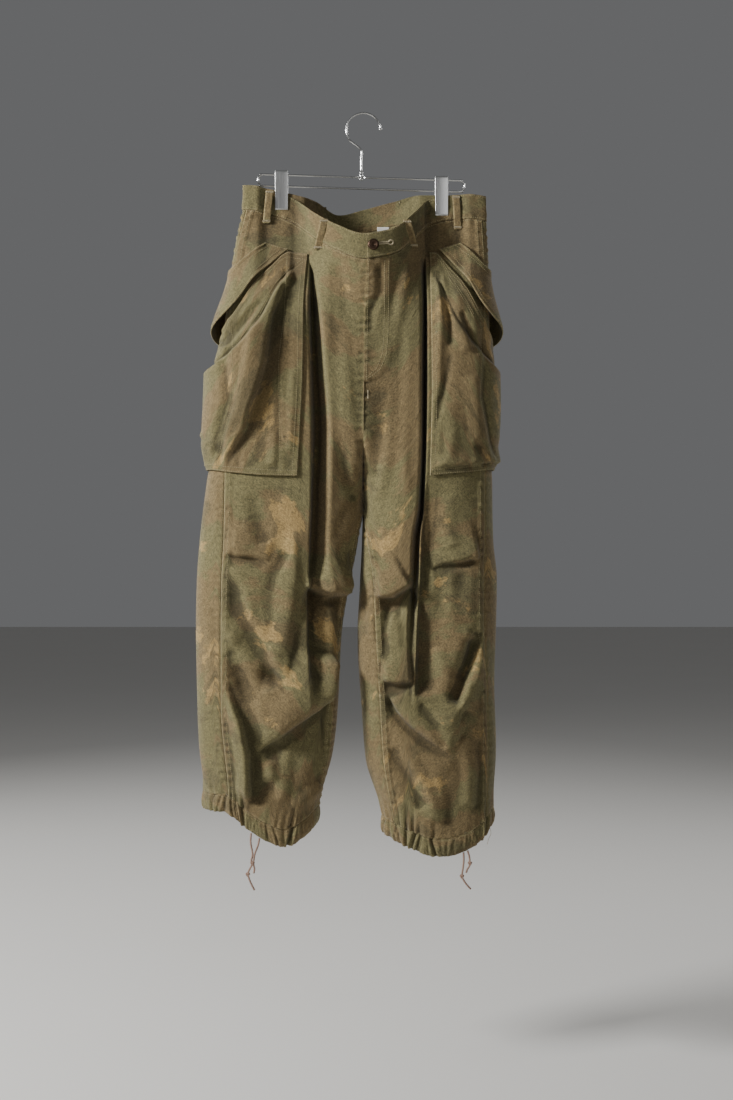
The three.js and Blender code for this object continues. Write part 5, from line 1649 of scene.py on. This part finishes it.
class GARMENT_OT_hanger(GarmentOperator, bpy.types.Operator):
    """Add the wire hook, the frame, the ferrule and the two clips"""
    bl_idname = "garment.hanger"
    bl_label = "Hanger"

    def execute(self, context):
        centre = HOOK_WIRE - HOOK_RADIUS
        a = np.linspace(0.06, 1.22 * math.pi, 15)
        bow = np.stack([np.cos(a) * HOOK_RADIUS, 0 * a, centre + np.sin(a) * HOOK_RADIUS], -1)
        x = WIRE_FRAME["x"]
        neck = [(-9, 0, -50), (-3, 0, -58), (x, 0, -72), (x, 0, FERRULE_Z + FERRULE["tall"] / 2 + SEAM_STEP)]
        line = curve_through(np.concatenate([bow, neck]), 150)
        tip = lathe([(0, -2.3), (1.4, -1.9), (2.2, -0.8), (2.3, 0), (2.2, 0.8), (1.4, 1.9), (0, 2.3)], 16)
        parts = [sweep(line, circle(HOOK_WIRE, 16), (0, 1, 0)), (tip[0] + line[0], tip[1])]
        declared(solid("hook", *joined(parts), material("steel")), "hanger", "hanger_hook")
        tall, wide = FERRULE["tall"], FERRULE["radius"]
        profile = [(0, 0), (wide - 0.6, 0), (wide, 0.6), (wide, 2.4), (wide - 0.5, 2.8), (wide - 0.5, 3.4),
                   (wide, 3.8), (wide, tall - 3.8), (wide - 0.5, tall - 3.4), (wide - 0.5, tall - 2.8),
                   (wide, tall - 2.4), (wide, tall - 0.6), (wide - 0.6, tall), (0, tall)]
        points, faces = lathe(profile, 24)
        ferrule = solid("ferrule", points + (x, 0, FERRULE_Z - tall / 2), faces, material("steel"))
        declared(ferrule, "hanger", "hanger_ferrule")
        turn = WIRE_FRAME["spacing"] / 2
        reach = WIRE_FRAME["half"] - turn
        start = FERRULE["radius"] + 0.3
        b = np.linspace(0, math.pi, 9)[1:-1]
        right = np.stack([reach + np.sin(b) * turn, np.cos(b) * turn], -1)
        left = np.stack([-reach - np.sin(b) * turn, -np.cos(b) * turn], -1)
        local = np.concatenate([
            [(start, turn), (reach * 0.5, turn), (reach, turn)], right,
            [(reach, -turn), (reach * 0.5, -turn), (0, -turn), (-reach * 0.5, -turn), (-reach, -turn)], left,
            [(-reach, turn), (-reach * 0.5, turn), (-start, turn)]])
        c, s = math.cos(WIRE_FRAME["tilt"]), math.sin(WIRE_FRAME["tilt"])
        placed = np.stack([x + local[:, 0] * c - local[:, 1] * s, 0 * local[:, 0],
                           WIRE_FRAME["z"] + local[:, 0] * s + local[:, 1] * c], -1)
        line = curve_through(placed, 260)
        wire = sweep(line, circle(FRAME_WIRE, 14), (0, 1, 0))
        declared(solid("frame_wire", *wire, material("steel")), "hanger", "hanger_wire")
        for name, (x, top) in CLIPS.items():
            self.clip(name, x, top)
        return {"FINISHED"}

    def clip(self, name, x, top):
        """A sheet clip: a rounded rectangle carried down one jaw, over the wires and up the other."""
        out = CLIP["inner"] + CLIP["sheet"] / 2
        crown = top - CLIP["inner"] - CLIP["sheet"]
        foot = crown - (CLIP["tall"] - CLIP["inner"] - CLIP["sheet"])
        a = np.linspace(math.pi, 0, 17)
        down = np.linspace(foot, crown, 24)[:-1]
        profile = np.concatenate([np.stack([-out + 0 * down, down], -1),
                                  np.stack([np.cos(a) * out, crown + np.sin(a) * out], -1),
                                  np.stack([out + 0 * down, down[::-1]], -1)])
        path = np.stack([x + 0 * profile[:, 0], profile[:, 0], profile[:, 1]], -1)
        half, thick = CLIP["wide"] / 2, CLIP["sheet"] / 2
        corner = np.linspace(0, math.pi / 2, 5)
        quarter = np.stack([np.cos(corner), np.sin(corner)], -1) * CLIP_ROUND
        inset = np.array([half - CLIP_ROUND, thick - CLIP_ROUND])
        section = np.concatenate([(quarter + inset), (quarter[::-1] + inset) * (-1, 1),
                                  (quarter + inset) * (-1, -1), (quarter[::-1] + inset) * (1, -1)])
        jaws = sweep(path, section, (1, 0, 0))
        declared(solid(f"{name}_sheet", *jaws, material("clip")), "hanger", name)


class GARMENT_PT_panel(bpy.types.Panel):
    """Lists the garment's pieces, sizes and colours"""
    bl_label = "Garment"
    bl_space_type = "VIEW_3D"
    bl_region_type = "UI"
    bl_category = "Garment"

    def draw(self, context):
        for operator in STEPS:
            self.layout.operator(operator.bl_idname)
        for group in (context.scene.garment_sizes, context.scene.garment_colours):
            for key in group.bl_rna.properties.keys():
                if key not in ("rna_type", "name"):
                    self.layout.prop(group, key)


STEPS = (GARMENT_OT_stage, GARMENT_OT_drawcords, GARMENT_OT_legs, GARMENT_OT_hems, GARMENT_OT_waistband,
         GARMENT_OT_pockets, GARMENT_OT_sewing, GARMENT_OT_tacks, GARMENT_OT_fastening, GARMENT_OT_hanger)
CLASSES = (GarmentSizes, GarmentColours) + STEPS + (GARMENT_PT_panel,)


def register():
    for each in CLASSES:
        bpy.utils.register_class(each)
    bpy.types.Scene.garment_sizes = bpy.props.PointerProperty(type=GarmentSizes)
    bpy.types.Scene.garment_colours = bpy.props.PointerProperty(type=GarmentColours)


def unregister():
    del bpy.types.Scene.garment_colours
    del bpy.types.Scene.garment_sizes
    for each in reversed(CLASSES):
        bpy.utils.unregister_class(each)


def main():
    register()
    for step in STEPS:
        group, name = step.bl_idname.split(".")
        getattr(getattr(bpy.ops, group), name)()


if __name__ == "__main__":
    main()
